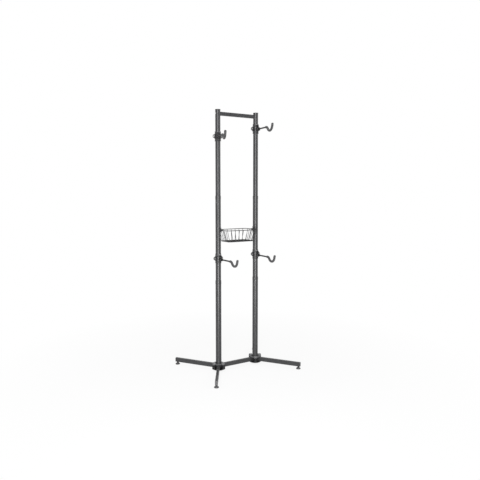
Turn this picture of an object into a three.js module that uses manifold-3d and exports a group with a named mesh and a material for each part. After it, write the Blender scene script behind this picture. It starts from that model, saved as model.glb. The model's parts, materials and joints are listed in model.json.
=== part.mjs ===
// Two tier bike rack: two telescoped posts on a four legged base, four clamped arms and a wire basket
// Millimetres, +Z up, floor at zero, origin between the posts, arms reaching towards -Y

import * as THREE from "three";
import { mergeVertices } from "three/addons/utils/BufferGeometryUtils.js";
import Module from "manifold-3d";

const wasm = await Module();
wasm.setup();

// Overall sizes and shared clearances
const rackHeight = 2134;
const postSpacing = 366;
const fitGap = 0.3;
const cutOverrun = 2;
const weldDepth = 0.6;

// Facet counts
const postSides = 16;
const clampSides = 16;
const bossSides = 12;
const studSides = 8;
const boltSides = 6;
const rodSides = 8;
const sleeveSides = 8;
const domeRings = 3;
const lugDomeSteps = 2;
const frameWireSides = 6;
const meshWireSides = 4;
const cornerSteps = 2;
const hexSides = 6;

// Base tubes: the base crossbar and the four legs
const barWidth = 22;
const barHeight = 35;
const barCorner = 4;
const barWall = 1.5;
const barUnderside = 22.5;
const barEndClearance = 3.7;
const legSpreadAngle = 57;
const legReach = 407;
const capFlange = 3;
const capPlugDepth = 5;

// Levelling feet
const footInset = 13.5;
const footRadius = 19;
const footThickness = 16;
const footRimHeight = 8;
const footShoulderRadius = 10;
const footStudRadius = 4;
const footStudTop = 46;
const footNutFlats = 13;
const footNutHeight = 4;
const footInsertRadius = 7;
const footInsertHeight = 11;

// Hubs: a lower bowl and an upper shell with three domed lugs, each with a bolt in its pocket
const dishBottom = 8;
const dishRadius = 54;
const dishFootRadius = 35;
const dishRim = 4;
const dishWall = 8;
const lugRadius = 16;
const lugTop = 74;
const lugCrownRadius = 11;
const lugDomeDrop = 11;
const lugPostGap = 4;
const lugPocketRadius = 9;
const lugPocketDepth = 5.5;
const plateRadius = 47;
const plateThickness = 5;
const collarTop = 69;
const collarWall = 4;
const hubBoltFlats = 13;
const hubBoltHeight = 5.3;

// Post sections, each plugging into the one below
const lowerTubeRadius = 23.5;
const middleTubeRadius = 22;
const upperTubeRadius = 20.5;
const tubeWall = 1.2;
const lowerTubeTop = 755;
const middleTubeRise = 690;
const plugDepth = 105;
const mouthBandHeight = 25;
const mouthBandRise = 0.8;
const stopRingHeight = 6;
const stopRingRise = 1.2;
const postCapHeight = 6;
const postCapDome = 2;
const postCapOverhang = 1;
const postCapPlug = 18;

// Top crossbar
const crossbarWidth = 20;
const crossbarHeight = 30;
const crossbarCorner = 5;
const crossbarWall = 1.5;
const crossbarDrop = 34;

// Liner bush round the post inside each arm clamp
const bushOuterRadius = 24.2;
const bushFlangeRadius = 26.5;
const bushFlangeThickness = 2;
const bushRise = 2;
const bushSlit = 2;

// Arm clamp, with heights measured from the rod's axis and the band's middle above it
const clampWall = 4.5;
const clampRise = 6;
const clampHalfHeight = 18;
const clampSplit = 2;
const saddleTop = 42;
const saddleBottom = 30;
const saddleHalfWidth = 13;
const earReach = 40.5;
const earHalfHeight = 14;
const earThickness = 6;
const earCorner = 9;
const clampBoltReach = 34.5;
const clampBoltRadius = 3;
const clampBoltFlats = 10;
const clampBoltHead = 4;
const clampNutHeight = 5;
const clampBoltTail = 2;
const webHalfWidth = 7;
const noseRadius = 13;
const noseReach = 58;
const noseChamfer = 2.5;
const screwRise = 27;
const screwBossRadius = 11;
const screwBossReach = 36;
const lockScrewRadius = 4;
const lockScrewHeadRadius = 8;
const lockScrewHeadHeight = 8;
const lockScrewHeadChamfer = 1;
const lockScrewRecessFlats = 8;
const lockScrewRecessDepth = 5;

// Bent rod of the arm and the rubber sleeve on its hook, measured outward from the post's axis
const rodRadius = 6;
const rodSocketDepth = 30;
const rodBendReach = 191;
const rodBendRadius = 22;
const rodDropAngle = 50;
const rodDropRun = 13.2;
const cradleRadius = 40;
const cradleTurnAngle = 125;
const hookTipRun = 19;
const sleeveRadius = 9.5;
const sleeveLead = 8;
const sleeveEndWall = 4;
const sleeveDomeShare = 0.9;
const dropBendSteps = 2;
const cradleBendSteps = 5;

// Where the four arms stand, as clamped in use: the rod above the lower post section or below the top of
// the rack, and its swivel off -Y about +Z
const lowerLeftArmRise = 177;
const lowerRightArmRise = 191;
const upperLeftArmDrop = 219;
const upperRightArmDrop = 138;
const lowerLeftArmSwivelAngle = 0;
const lowerRightArmSwivelAngle = -2;
const upperLeftArmSwivelAngle = -19.5;
const upperRightArmSwivelAngle = -7.5;

// Wire basket and the strap hooks that carry it
const basketRimRise = 220;
const basketDepth = 93;
const rimPostGap = 11;
const rimBreadth = 194;
const rimCorner = 28;
const endWallFlare = 31;
const sideWallFlare = 27;
const floorCorner = 18;
const frameWireRadius = 2.6;
const meshWireRadius = 1.7;
const longWallWires = 7;
const shortWallWires = 6;
const meshSpanShare = 0.97;
const floorWireDrop = 2.6;
const strapThickness = 2.6;
const strapWidth = 18;
const strapRise = 22;
const strapLipRise = 7;
const strapDrop = 12;

// Colours and finishes
const blackSteel = { color: 0x1b1c1e, roughness: 0.38, metalness: 0.55 };
const blackPlastic = { color: 0x141415, roughness: 0.6, metalness: 0 };
const castBlack = { color: 0x202123, roughness: 0.5, metalness: 0.4 };
const zincSteel = { color: 0x8f9294, roughness: 0.35, metalness: 0.9 };
const greyRubber = { color: 0x4a4a4c, roughness: 0.8, metalness: 0 };
const wireFinish = { color: 0x3c3d3f, roughness: 0.35, metalness: 0.7 };

// Sizes that follow from those above
const postX = postSpacing / 2;
const footReach = legReach - footInset;
const middleTubeTop = lowerTubeTop + middleTubeRise;
const lowerLeftArmHeight = lowerTubeTop + lowerLeftArmRise;
const lowerRightArmHeight = lowerTubeTop + lowerRightArmRise;
const upperLeftArmHeight = rackHeight - upperLeftArmDrop;
const upperRightArmHeight = rackHeight - upperRightArmDrop;
const basketRimHeight = lowerRightArmHeight + basketRimRise;
const barMiddle = barUnderside + barHeight / 2;
const barTop = barUnderside + barHeight;
const barStart = lowerTubeRadius + barEndClearance;
const dishTop = barUnderside - fitGap;
const plateBottom = barTop + fitGap;
const plateTop = plateBottom + plateThickness;
const lugCircle = lowerTubeRadius + lugPostGap + lugRadius;
const middleTubeBottom = lowerTubeTop - plugDepth;
const upperTubeBottom = middleTubeTop - plugDepth;
const upperTubeTop = rackHeight - postCapHeight - fitGap;
const crossbarMiddle = rackHeight - crossbarDrop;
const clampBoreRadius = bushOuterRadius + fitGap;
const clampOuterRadius = clampBoreRadius + clampWall;
const rodStart = noseReach - rodSocketDepth + fitGap;
const basketFloorHeight = basketRimHeight - basketDepth;
const rimLength = postSpacing - 2 * (middleTubeRadius + rimPostGap);
const floorLength = rimLength - 2 * endWallFlare;
const floorBreadth = rimBreadth - 2 * sideWallFlare;
const hubPlaceAngles = [0, 180 - legSpreadAngle, 180 + legSpreadAngle];

// Geometry helpers

const radians = (degrees) => THREE.MathUtils.degToRad(degrees);

// Radius of a faceted hole whose flats touch the wanted circle
const holeRadius = (radius, sides) => radius / Math.cos(Math.PI / sides);

// Corner radius of a hexagon from its width over flats
const hexRadius = (flats) => flats / (2 * Math.cos(Math.PI / hexSides));

function toManifold(positions, triangles) {
  const mesh = new wasm.Mesh({
    numProp: 3,
    vertProperties: new Float32Array(positions),
    triVerts: new Uint32Array(triangles),
  });
  return new wasm.Manifold(mesh);
}

// Closed three.js geometry to a solid, with its faces turned outward
function toSolid(geometry) {
  const bare = new THREE.BufferGeometry();
  bare.setAttribute("position", geometry.getAttribute("position"));
  bare.setIndex(geometry.getIndex());
  const merged = mergeVertices(bare);
  const corners = merged.getIndex().array;
  const outward = [];
  const inward = [];
  for (let i = 0; i < corners.length; i += 3) {
    const [a, b, c] = [corners[i], corners[i + 1], corners[i + 2]];
    if (a === b || b === c || c === a) continue;
    outward.push(a, b, c);
    inward.push(a, c, b);
  }
  const positions = merged.getAttribute("position").array;
  const solid = toManifold(positions, outward);
  return solid.volume() < 0 ? toManifold(positions, inward) : solid;
}

function toGeometry(solid) {
  const mesh = solid.getMesh();
  const geometry = new THREE.BufferGeometry();
  geometry.setAttribute("position", new THREE.BufferAttribute(mesh.vertProperties, 3));
  geometry.setIndex(new THREE.BufferAttribute(mesh.triVerts, 1));
  geometry.computeVertexNormals();
  return geometry;
}

const join = (solids) => solids.reduce((whole, piece) => whole.add(piece));

const cut = (solid, tools) => tools.reduce((whole, tool) => whole.subtract(tool), solid);

// Box between two corners
function block(low, high) {
  const size = high.map((value, axis) => value - low[axis]);
  const geometry = new THREE.BoxGeometry(...size);
  geometry.translate(...high.map((value, axis) => (value + low[axis]) / 2));
  return toSolid(geometry);
}

// Round bar along Z between two heights
function roundBar(radius, bottom, top, sides) {
  const geometry = new THREE.CylinderGeometry(radius, radius, top - bottom, sides);
  geometry.rotateX(Math.PI / 2);
  geometry.translate(0, 0, (top + bottom) / 2);
  return toSolid(geometry);
}

// Round bar along the arm, between two reaches from the post's axis
function reachBar(radius, from, to, sides) {
  const geometry = new THREE.CylinderGeometry(radius, radius, to - from, sides);
  geometry.translate(0, -(to + from) / 2, 0);
  return toSolid(geometry);
}

const lathePoints = (profile) => profile.map(([radius, height]) => new THREE.Vector2(radius, height));

// Solid of revolution about Z, from [radius, height] points
function revolve(profile, sides) {
  const geometry = new THREE.LatheGeometry(lathePoints(profile), sides);
  geometry.rotateX(Math.PI / 2);
  return toSolid(geometry);
}

// Solid of revolution about the arm's axis, from [radius, reach] points
function revolveAlongArm(profile, sides) {
  const outward = profile.map(([radius, reach]) => [radius, -reach]);
  return toSolid(new THREE.LatheGeometry(lathePoints(outward), sides));
}

function roundedRectangle(width, height, corner) {
  const [x, y] = [width / 2 - corner, height / 2 - corner];
  const shape = new THREE.Shape();
  shape.absarc(x, y, corner, 0, Math.PI / 2);
  shape.absarc(-x, y, corner, Math.PI / 2, Math.PI);
  shape.absarc(-x, -y, corner, Math.PI, Math.PI * 1.5);
  shape.absarc(x, -y, corner, Math.PI * 1.5, Math.PI * 2);
  return shape;
}

// Outline extruded along a bar: its x becomes Y, its y becomes Z, and the bar runs along X
const alongX = new THREE.Matrix4().set(0, 0, 1, 0, 1, 0, 0, 0, 0, 1, 0, 0, 0, 0, 0, 1);

function barSolid(shape, start, end) {
  const geometry = new THREE.ExtrudeGeometry(shape, {
    depth: end - start,
    bevelEnabled: false,
    curveSegments: cornerSteps,
  });
  geometry.translate(0, 0, start);
  geometry.applyMatrix4(alongX);
  return toSolid(geometry);
}

// Rectangular tube along X with rounded corners, its middle on the axis
function boxTube(width, height, corner, wall, start, end) {
  const outer = barSolid(roundedRectangle(width, height, corner), start, end);
  const bore = roundedRectangle(width - 2 * wall, height - 2 * wall, corner - wall);
  return outer.subtract(barSolid(bore, start - cutOverrun, end + cutOverrun));
}

// Side outline of the arm extruded across it: its x is the reach and its y the height
function sidePlate(shape, halfWidth, steps) {
  const geometry = new THREE.ExtrudeGeometry(shape, {
    depth: 2 * halfWidth,
    bevelEnabled: false,
    curveSegments: steps,
  });
  geometry.translate(0, 0, -halfWidth);
  geometry.applyMatrix4(new THREE.Matrix4().set(0, 0, 1, 0, -1, 0, 0, 0, 0, 1, 0, 0, 0, 0, 0, 1));
  return toSolid(geometry);
}

// Curve through stations that know their own heading, so a straight run costs one step
class StationCurve extends THREE.Curve {
  constructor(stations) {
    super();
    this.stations = stations;
  }

  getUtoTmapping(u) {
    return u;
  }

  getPoint(t, target = new THREE.Vector3()) {
    const place = t * (this.stations.length - 1);
    const index = Math.min(Math.floor(place), this.stations.length - 2);
    const [here, next] = [this.stations[index], this.stations[index + 1]];
    return target.lerpVectors(here.point, next.point, place - index);
  }

  getTangent(t, target = new THREE.Vector3()) {
    const index = Math.round(t * (this.stations.length - 1));
    return target.copy(this.stations[index].heading);
  }
}

function polygon(radius, sides) {
  const points = Array.from({ length: sides }, (_, i) => {
    const angle = ((i + 0.5) * 2 * Math.PI) / sides;
    return new THREE.Vector2(radius * Math.cos(angle), radius * Math.sin(angle));
  });
  return new THREE.Shape(points);
}

// Round rod along an open run of stations
function sweep(stations, radius, sides) {
  return toSolid(new THREE.ExtrudeGeometry(polygon(radius, sides), {
    steps: stations.length - 1,
    bevelEnabled: false,
    extrudePath: new StationCurve(stations),
  }));
}

// Round wire along a closed run of stations
function closedWire(stations, radius, sides) {
  const loop = [...stations, stations[0]];
  const curve = new StationCurve(loop);
  return toSolid(new THREE.TubeGeometry(curve, loop.length - 1, radius, sides, true));
}

// Straight wire between two points
function straightWire(from, to, radius, sides) {
  const run = new THREE.Vector3().subVectors(to, from);
  const geometry = new THREE.CylinderGeometry(radius, radius, run.length(), sides);
  const upright = new THREE.Vector3(0, 1, 0);
  geometry.applyQuaternion(new THREE.Quaternion().setFromUnitVectors(upright, run.clone().normalize()));
  geometry.translate(...new THREE.Vector3().addVectors(from, to).divideScalar(2).toArray());
  return toSolid(geometry);
}

// Base tubes, caps and feet, each drawn from its hub's axis outward along X

function legTube() {
  const tube = boxTube(barWidth, barHeight, barCorner, barWall, barStart, legReach);
  const insertTop = barUnderside + footInsertHeight;
  const insert = roundBar(footInsertRadius, barUnderside + weldDepth, insertTop, studSides);
  const stud = holeRadius(footStudRadius + fitGap, studSides);
  const bore = roundBar(stud, barUnderside - cutOverrun, insertTop + cutOverrun, studSides);
  const whole = tube.translate(0, 0, barMiddle).add(insert.translate(footReach, 0, 0));
  return whole.subtract(bore.translate(footReach, 0, 0));
}

function baseCrossbar() {
  const half = postX - barStart;
  return boxTube(barWidth, barHeight, barCorner, barWall, -half, half).translate(0, 0, barMiddle);
}

function legCap() {
  const start = legReach + fitGap;
  const inset = 2 * (barWall + fitGap);
  const plugShape = roundedRectangle(barWidth - inset, barHeight - inset, barCorner - barWall);
  const flange = barSolid(roundedRectangle(barWidth, barHeight, barCorner), start, start + capFlange);
  const plug = barSolid(plugShape, legReach - capPlugDepth, start + weldDepth);
  return flange.add(plug).translate(0, 0, barMiddle);
}

function levellingFoot() {
  const nutTop = footThickness + footNutHeight;
  const pad = revolve([
    [0, 0], [footRadius, 0], [footRadius, footRimHeight], [footShoulderRadius, footThickness],
    [0, footThickness],
  ], bossSides);
  const nut = roundBar(hexRadius(footNutFlats), footThickness - weldDepth, nutTop, hexSides);
  const stud = roundBar(footStudRadius, nutTop - weldDepth, footStudTop, studSides);
  return join([pad, nut, stud]).translate(footReach, 0, 0);
}

// Hub pieces, with the base crossbar leaving along +X and a leg on each side of -X

const lugAngles = hubPlaceAngles.map((angle, i) => {
  const next = i + 1 < hubPlaceAngles.length ? hubPlaceAngles[i + 1] : 360;
  return radians((angle + next) / 2);
});

const onLugs = (solid) => lugAngles.map(
  (angle) => solid.translate(lugCircle * Math.cos(angle), lugCircle * Math.sin(angle), 0),
);

function hubLower() {
  const dish = revolve([
    [0, dishTop], [dishRadius, dishTop], [dishRadius, dishTop - dishRim], [dishFootRadius, dishBottom],
    [dishFootRadius - dishWall, dishBottom], [dishRadius - dishWall, dishTop - dishRim],
    [0, dishTop - dishRim],
  ], postSides);
  const pillar = roundBar(lugRadius, dishTop - weldDepth, barMiddle - fitGap / 2, bossSides);
  return join([dish, ...onLugs(pillar)]);
}

// Points over the lug's dome, from its side to its crown
const lugDome = () => Array.from({ length: lugDomeSteps + 1 }, (_, i) => {
  const angle = (i * Math.PI) / (2 * lugDomeSteps);
  const radius = lugCrownRadius + (lugRadius - lugCrownRadius) * Math.cos(angle);
  return [radius, lugTop - lugDomeDrop * (1 - Math.sin(angle))];
});

function hubUpper() {
  const base = barMiddle + fitGap / 2;
  const seat = lugTop - lugPocketDepth;
  const lug = revolve([
    [0, base], [lugRadius, base], ...lugDome(), [lugPocketRadius, lugTop], [lugPocketRadius, seat], [0, seat],
  ], bossSides);
  const bolt = roundBar(hexRadius(hubBoltFlats), seat - weldDepth, seat + hubBoltHeight, hexSides);
  const plate = roundBar(plateRadius, plateBottom, plateTop, postSides);
  const collar = roundBar(lowerTubeRadius + fitGap + collarWall, plateTop - weldDepth, collarTop, postSides);
  const bore = holeRadius(lowerTubeRadius + fitGap, postSides);
  const postHole = roundBar(bore, plateBottom - cutOverrun, lugTop + cutOverrun, postSides);
  return join([plate, collar, ...onLugs(lug), ...onLugs(bolt)]).subtract(postHole);
}

// Post sections, as revolved walls with a mouth band and an inner ring that stops the next section

function socketTube(radius, bottom, top) {
  const bore = holeRadius(radius - tubeWall, postSides);
  const stop = bore - stopRingRise;
  const stopTop = top - plugDepth - fitGap;
  const band = radius + mouthBandRise;
  const bandBottom = top - mouthBandHeight;
  return revolve([
    [bore, bottom], [radius, bottom], [radius, bandBottom - mouthBandRise], [band, bandBottom],
    [band, top], [bore, top], [bore, stopTop], [stop, stopTop], [bore, stopTop - stopRingHeight],
    [bore, bottom],
  ], postSides);
}

function plainTube(radius, bottom, top) {
  const bore = holeRadius(radius - tubeWall, postSides);
  return revolve([[bore, bottom], [radius, bottom], [radius, top], [bore, top], [bore, bottom]], postSides);
}

// Strap welded to the post's inner side, with a J under the basket's rim wire, drawn towards +X
function basketStrap() {
  const wireX = postX - rimLength / 2;
  const seat = frameWireRadius + fitGap;
  const outer = seat + strapThickness;
  const root = middleTubeRadius - weldDepth;
  const face = middleTubeRadius + strapThickness;
  const shape = new THREE.Shape();
  shape.moveTo(root, -strapDrop);
  shape.lineTo(face, -strapDrop);
  shape.lineTo(wireX, -outer);
  shape.absarc(wireX, 0, outer, -Math.PI / 2, 0);
  shape.lineTo(wireX + outer, strapLipRise);
  shape.lineTo(wireX + seat, strapLipRise);
  shape.absarc(wireX, 0, seat, 0, -Math.PI, true);
  shape.lineTo(face, seat);
  shape.lineTo(face, strapRise);
  shape.lineTo(root, strapRise);
  shape.closePath();
  const geometry = new THREE.ExtrudeGeometry(shape, {
    depth: strapWidth,
    bevelEnabled: false,
    curveSegments: 2 * cornerSteps,
  });
  geometry.rotateX(Math.PI / 2);
  geometry.translate(0, strapWidth / 2, basketRimHeight);
  return toSolid(geometry);
}

function middleTube() {
  const tube = socketTube(middleTubeRadius, middleTubeBottom, middleTubeTop);
  const bore = holeRadius(middleTubeRadius - tubeWall, postSides);
  const clear = roundBar(bore, basketRimHeight - 2 * strapDrop, basketRimHeight + 2 * strapRise, postSides);
  return tube.add(basketStrap().subtract(clear));
}

function postCap() {
  const bottom = upperTubeTop + fitGap;
  const rim = upperTubeRadius + postCapOverhang;
  const plug = upperTubeRadius - tubeWall - fitGap;
  return revolve([
    [0, bottom - postCapPlug], [plug, bottom - postCapPlug], [plug, bottom], [rim, bottom],
    [rim, rackHeight - postCapDome], [rim - postCapDome, rackHeight - postCapDome / 2], [0, rackHeight],
  ], postSides);
}

function topCrossbar() {
  const half = postX - upperTubeRadius / 2;
  const tube = boxTube(crossbarWidth, crossbarHeight, crossbarCorner, crossbarWall, -half, half);
  const post = holeRadius(upperTubeRadius + fitGap, postSides);
  const cope = roundBar(post, -crossbarHeight, crossbarHeight, postSides);
  const coped = cut(tube, [cope.translate(-postX, 0, 0), cope.translate(postX, 0, 0)]);
  return coped.translate(0, 0, crossbarMiddle);
}

// Arm pieces, about the post's axis at the rod's height, with the arm reaching towards -Y

function linerBush(tubeRadius) {
  const bore = holeRadius(tubeRadius + fitGap, clampSides);
  const seat = -saddleBottom - fitGap;
  const bottom = seat - bushFlangeThickness;
  const top = saddleTop + bushRise;
  const ring = revolve([
    [bore, bottom], [bushFlangeRadius, bottom], [bushFlangeRadius, seat], [bushOuterRadius, seat],
    [bushOuterRadius, top], [bore, top], [bore, bottom],
  ], clampSides);
  const slitLow = [-bushSlit / 2, 0, bottom - cutOverrun];
  const slitHigh = [bushSlit / 2, bushFlangeRadius + cutOverrun, top + cutOverrun];
  return ring.subtract(block(slitLow, slitHigh));
}

// One ear plate on each side of the post, from the split outward by the ear's thickness
function earPlate(side) {
  const geometry = new THREE.ExtrudeGeometry(
    roundedRectangle(2 * earReach, 2 * earHalfHeight, earCorner),
    { depth: earThickness, bevelEnabled: false, curveSegments: cornerSteps },
  );
  geometry.rotateX(Math.PI / 2);
  const start = side < 0 ? -clampSplit / 2 : clampSplit / 2 + earThickness;
  geometry.translate(0, start, clampRise);
  return toSolid(geometry);
}

const clampBore = () => roundBar(
  holeRadius(clampBoreRadius, clampSides), -saddleBottom - cutOverrun, saddleTop + cutOverrun, clampSides,
);

const clampBoltHoles = () => [-clampBoltReach, clampBoltReach].map((x) => {
  const hole = holeRadius(clampBoltRadius + fitGap, boltSides);
  const reach = clampSplit + earThickness + cutOverrun;
  return reachBar(hole, -reach, reach, boltSides).translate(x, 0, clampRise);
});

// Web that ties the rod's nose and the lock screw's boss to the saddle
function clampWeb() {
  const root = clampBoreRadius;
  const toe = clampOuterRadius;
  const shape = new THREE.Shape();
  shape.moveTo(root, -saddleBottom);
  shape.lineTo(toe, -saddleBottom);
  shape.quadraticCurveTo(toe + noseChamfer, -noseRadius, noseReach - noseRadius, -noseRadius);
  shape.lineTo(noseReach - noseRadius, noseRadius);
  shape.quadraticCurveTo(screwBossReach, noseRadius, screwBossReach, screwRise - screwBossRadius);
  shape.lineTo(screwBossReach, screwRise);
  shape.quadraticCurveTo(screwBossReach, saddleTop, toe, saddleTop);
  shape.lineTo(root, saddleTop);
  shape.closePath();
  return sidePlate(shape, webHalfWidth, cornerSteps);
}

function clampFront() {
  const outer = clampOuterRadius;
  const band = roundBar(outer, clampRise - clampHalfHeight, clampRise + clampHalfHeight, clampSides);
  const saddle = roundBar(outer, -saddleBottom, saddleTop, clampSides).intersect(
    block([-saddleHalfWidth, -outer, -saddleBottom], [saddleHalfWidth, 0, saddleTop]),
  );
  const frontSide = block([-outer, -outer, -saddleBottom], [outer, -clampSplit / 2, saddleTop]);
  const shell = band.add(saddle).intersect(frontSide);
  const nose = revolveAlongArm([
    [0, clampBoreRadius], [noseRadius, clampBoreRadius], [noseRadius, noseReach - noseChamfer],
    [noseRadius - noseChamfer, noseReach], [0, noseReach],
  ], bossSides);
  const boss = reachBar(screwBossRadius, clampBoreRadius, screwBossReach, bossSides);
  const socketBottom = noseReach - rodSocketDepth;
  const rodBore = reachBar(
    holeRadius(rodRadius + fitGap, rodSides), socketBottom, noseReach + cutOverrun, rodSides,
  );
  const screwBore = reachBar(
    holeRadius(lockScrewRadius + fitGap, studSides), 0, noseReach, studSides,
  ).translate(0, 0, screwRise);
  const whole = join([shell, earPlate(-1), clampWeb(), nose, boss.translate(0, 0, screwRise)]);
  return cut(whole, [clampBore(), rodBore, screwBore, ...clampBoltHoles()]);
}

function clampRear() {
  const outer = clampOuterRadius;
  const [bottom, top] = [clampRise - clampHalfHeight, clampRise + clampHalfHeight];
  const backSide = block([-outer, clampSplit / 2, bottom], [outer, outer, top]);
  const band = roundBar(outer, bottom, top, clampSides).intersect(backSide);
  return cut(band.add(earPlate(1)), [clampBore(), ...clampBoltHoles()]);
}

// Ear bolt with its head in front and its nut behind
function clampBolt(x) {
  const seat = clampSplit / 2 + earThickness + fitGap;
  const head = hexRadius(clampBoltFlats);
  const tail = seat + clampNutHeight + clampBoltTail;
  return join([
    reachBar(head, seat, seat + clampBoltHead, hexSides),
    reachBar(head, -seat - clampNutHeight, -seat, hexSides),
    reachBar(clampBoltRadius, -tail, seat + clampBoltHead / 2, boltSides),
  ]).translate(x, 0, clampRise);
}

function lockScrew() {
  const seat = screwBossReach + fitGap;
  const top = seat + lockScrewHeadHeight;
  const tip = bushOuterRadius + fitGap;
  const screw = revolveAlongArm([
    [0, tip], [lockScrewRadius, tip], [lockScrewRadius, seat], [lockScrewHeadRadius, seat],
    [lockScrewHeadRadius, top - lockScrewHeadChamfer], [lockScrewHeadRadius - lockScrewHeadChamfer, top],
    [0, top],
  ], bossSides);
  const recess = hexRadius(lockScrewRecessFlats);
  const socket = reachBar(recess, top - lockScrewRecessDepth, top + cutOverrun, hexSides);
  return screw.subtract(socket).translate(0, 0, screwRise);
}

// Stations of the hook's bends in the arm's own plane, after a straight run that starts at a reach
function hookStations(start, tipRun) {
  let [reach, height, heading] = [start, 0, 0];
  const stations = [];
  const mark = () => stations.push({
    point: new THREE.Vector3(0, -reach, height),
    heading: new THREE.Vector3(0, -Math.cos(heading), Math.sin(heading)),
  });
  const run = (length) => {
    reach += length * Math.cos(heading);
    height += length * Math.sin(heading);
    mark();
  };
  const bend = (radius, angle, steps) => {
    const way = Math.sign(angle);
    const centreReach = reach - way * radius * Math.sin(heading);
    const centreHeight = height + way * radius * Math.cos(heading);
    const first = heading;
    for (let i = 1; i <= steps; i += 1) {
      heading = first + (angle * i) / steps;
      reach = centreReach + way * radius * Math.sin(heading);
      height = centreHeight - way * radius * Math.cos(heading);
      mark();
    }
  };
  mark();
  run(rodBendReach - start);
  bend(rodBendRadius, -radians(rodDropAngle), dropBendSteps);
  run(rodDropRun);
  bend(cradleRadius, radians(cradleTurnAngle), cradleBendSteps);
  run(tipRun);
  return stations;
}

const armRod = () => sweep(hookStations(rodStart, hookTipRun - sleeveEndWall), rodRadius, rodSides);

function hookSleeve() {
  const start = rodBendReach - sleeveLead;
  const path = hookStations(start, hookTipRun);
  const tip = path[path.length - 1];
  const skin = sweep(path, sleeveRadius, sleeveSides);
  const dome = new THREE.SphereGeometry(sleeveRadius * sleeveDomeShare, sleeveSides, domeRings);
  const upright = new THREE.Vector3(0, 1, 0);
  dome.applyQuaternion(new THREE.Quaternion().setFromUnitVectors(upright, tip.heading));
  dome.translate(...tip.point.toArray());
  const boreRadius = holeRadius(rodRadius + fitGap, rodSides);
  const bore = sweep(
    hookStations(start - cutOverrun, hookTipRun - sleeveEndWall + fitGap), boreRadius, rodSides,
  );
  return skin.add(toSolid(dome)).subtract(bore);
}

// Basket: two closed frame wires and a mesh of straight wires that end inside them

function loopStations(length, breadth, corner, height) {
  const [x, y] = [length / 2 - corner, breadth / 2 - corner];
  const centres = [[x, y], [-x, y], [-x, -y], [x, -y]];
  return centres.flatMap(([centreX, centreY], quarter) => Array.from({ length: cornerSteps + 1 }, (_, i) => {
    const angle = ((quarter + i / cornerSteps) * Math.PI) / 2;
    return {
      point: new THREE.Vector3(
        centreX + corner * Math.cos(angle), centreY + corner * Math.sin(angle), height,
      ),
      heading: new THREE.Vector3(-Math.sin(angle), Math.cos(angle), 0),
    };
  }));
}

// Places spread evenly along a side, as shares of half its straight part
const meshShares = (count) => Array.from(
  { length: count }, (_, i) => meshSpanShare * ((2 * i) / (count - 1) - 1),
);

function wireBasket() {
  const rim = closedWire(
    loopStations(rimLength, rimBreadth, rimCorner, basketRimHeight), frameWireRadius, frameWireSides,
  );
  const floorFrame = closedWire(
    loopStations(floorLength, floorBreadth, floorCorner, basketFloorHeight), frameWireRadius, frameWireSides,
  );
  const halfAndStraight = (length, corner) => [length / 2, length / 2 - corner];
  const [rimX, rimStraightX] = halfAndStraight(rimLength, rimCorner);
  const [rimY, rimStraightY] = halfAndStraight(rimBreadth, rimCorner);
  const [floorX, floorStraightX] = halfAndStraight(floorLength, floorCorner);
  const [floorY, floorStraightY] = halfAndStraight(floorBreadth, floorCorner);
  const wire = (from, to) => straightWire(
    new THREE.Vector3(...from), new THREE.Vector3(...to), meshWireRadius, meshWireSides,
  );
  const top = basketRimHeight;
  const floor = basketFloorHeight;
  const wires = [];
  for (const share of meshShares(longWallWires)) {
    const [high, low] = [share * rimStraightX, share * floorStraightX];
    wires.push(wire([high, -rimY, top], [low, -floorY, floor]));
    wires.push(wire([high, rimY, top], [low, floorY, floor]));
    wires.push(wire([low, -floorY, floor], [low, floorY, floor]));
  }
  for (const share of meshShares(shortWallWires)) {
    const [high, low] = [share * rimStraightY, share * floorStraightY];
    const under = floor - floorWireDrop;
    wires.push(wire([-rimX, high, top], [-floorX, low, floor]));
    wires.push(wire([rimX, high, top], [floorX, low, floor]));
    wires.push(wire([-floorX, low, under], [floorX, low, under]));
  }
  return join([rim, floorFrame, ...wires]);
}

// Assembly

const rack = new THREE.Group();

function addMesh(parent, name, solid, finish) {
  const mesh = new THREE.Mesh(toGeometry(solid), new THREE.MeshStandardMaterial(finish));
  mesh.name = name;
  parent.add(mesh);
  return mesh;
}

function addGroup(parent, x, height, turn) {
  const group = new THREE.Group();
  group.position.set(x, 0, height);
  group.rotation.z = turn;
  parent.add(group);
  return group;
}

const sides = [
  { side: "left", x: -postX, turn: 0, legs: ["rear", "front"] },
  { side: "right", x: postX, turn: Math.PI, legs: ["front", "rear"] },
];

function addBase() {
  addMesh(rack, "base_crossbar", baseCrossbar(), blackSteel);
  for (const { side, x, turn, legs } of sides) {
    const hub = addGroup(rack, x, 0, turn);
    addMesh(hub, `hub_${side}_lower`, hubLower(), castBlack);
    addMesh(hub, `hub_${side}_upper`, hubUpper(), castBlack);
    legs.forEach((place, i) => {
      const leg = addGroup(hub, 0, 0, radians(hubPlaceAngles[i + 1]));
      addMesh(leg, `leg_${side}_${place}`, legTube(), blackSteel);
      addMesh(leg, `leg_cap_${side}_${place}`, legCap(), blackPlastic);
      addMesh(leg, `levelling_foot_${side}_${place}`, levellingFoot(), blackPlastic);
    });
  }
}

function addPosts() {
  for (const { side, x, turn } of sides) {
    const post = addGroup(rack, x, 0, turn);
    addMesh(post, `post_${side}_lower`, socketTube(lowerTubeRadius, barUnderside, lowerTubeTop), blackSteel);
    addMesh(post, `post_${side}_middle`, middleTube(), blackSteel);
    const upper = plainTube(upperTubeRadius, upperTubeBottom, upperTubeTop);
    addMesh(post, `post_${side}_upper`, upper, blackSteel);
    addMesh(post, `post_cap_${side}`, postCap(), blackPlastic);
  }
  addMesh(rack, "top_crossbar", topCrossbar(), blackSteel);
}

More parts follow.
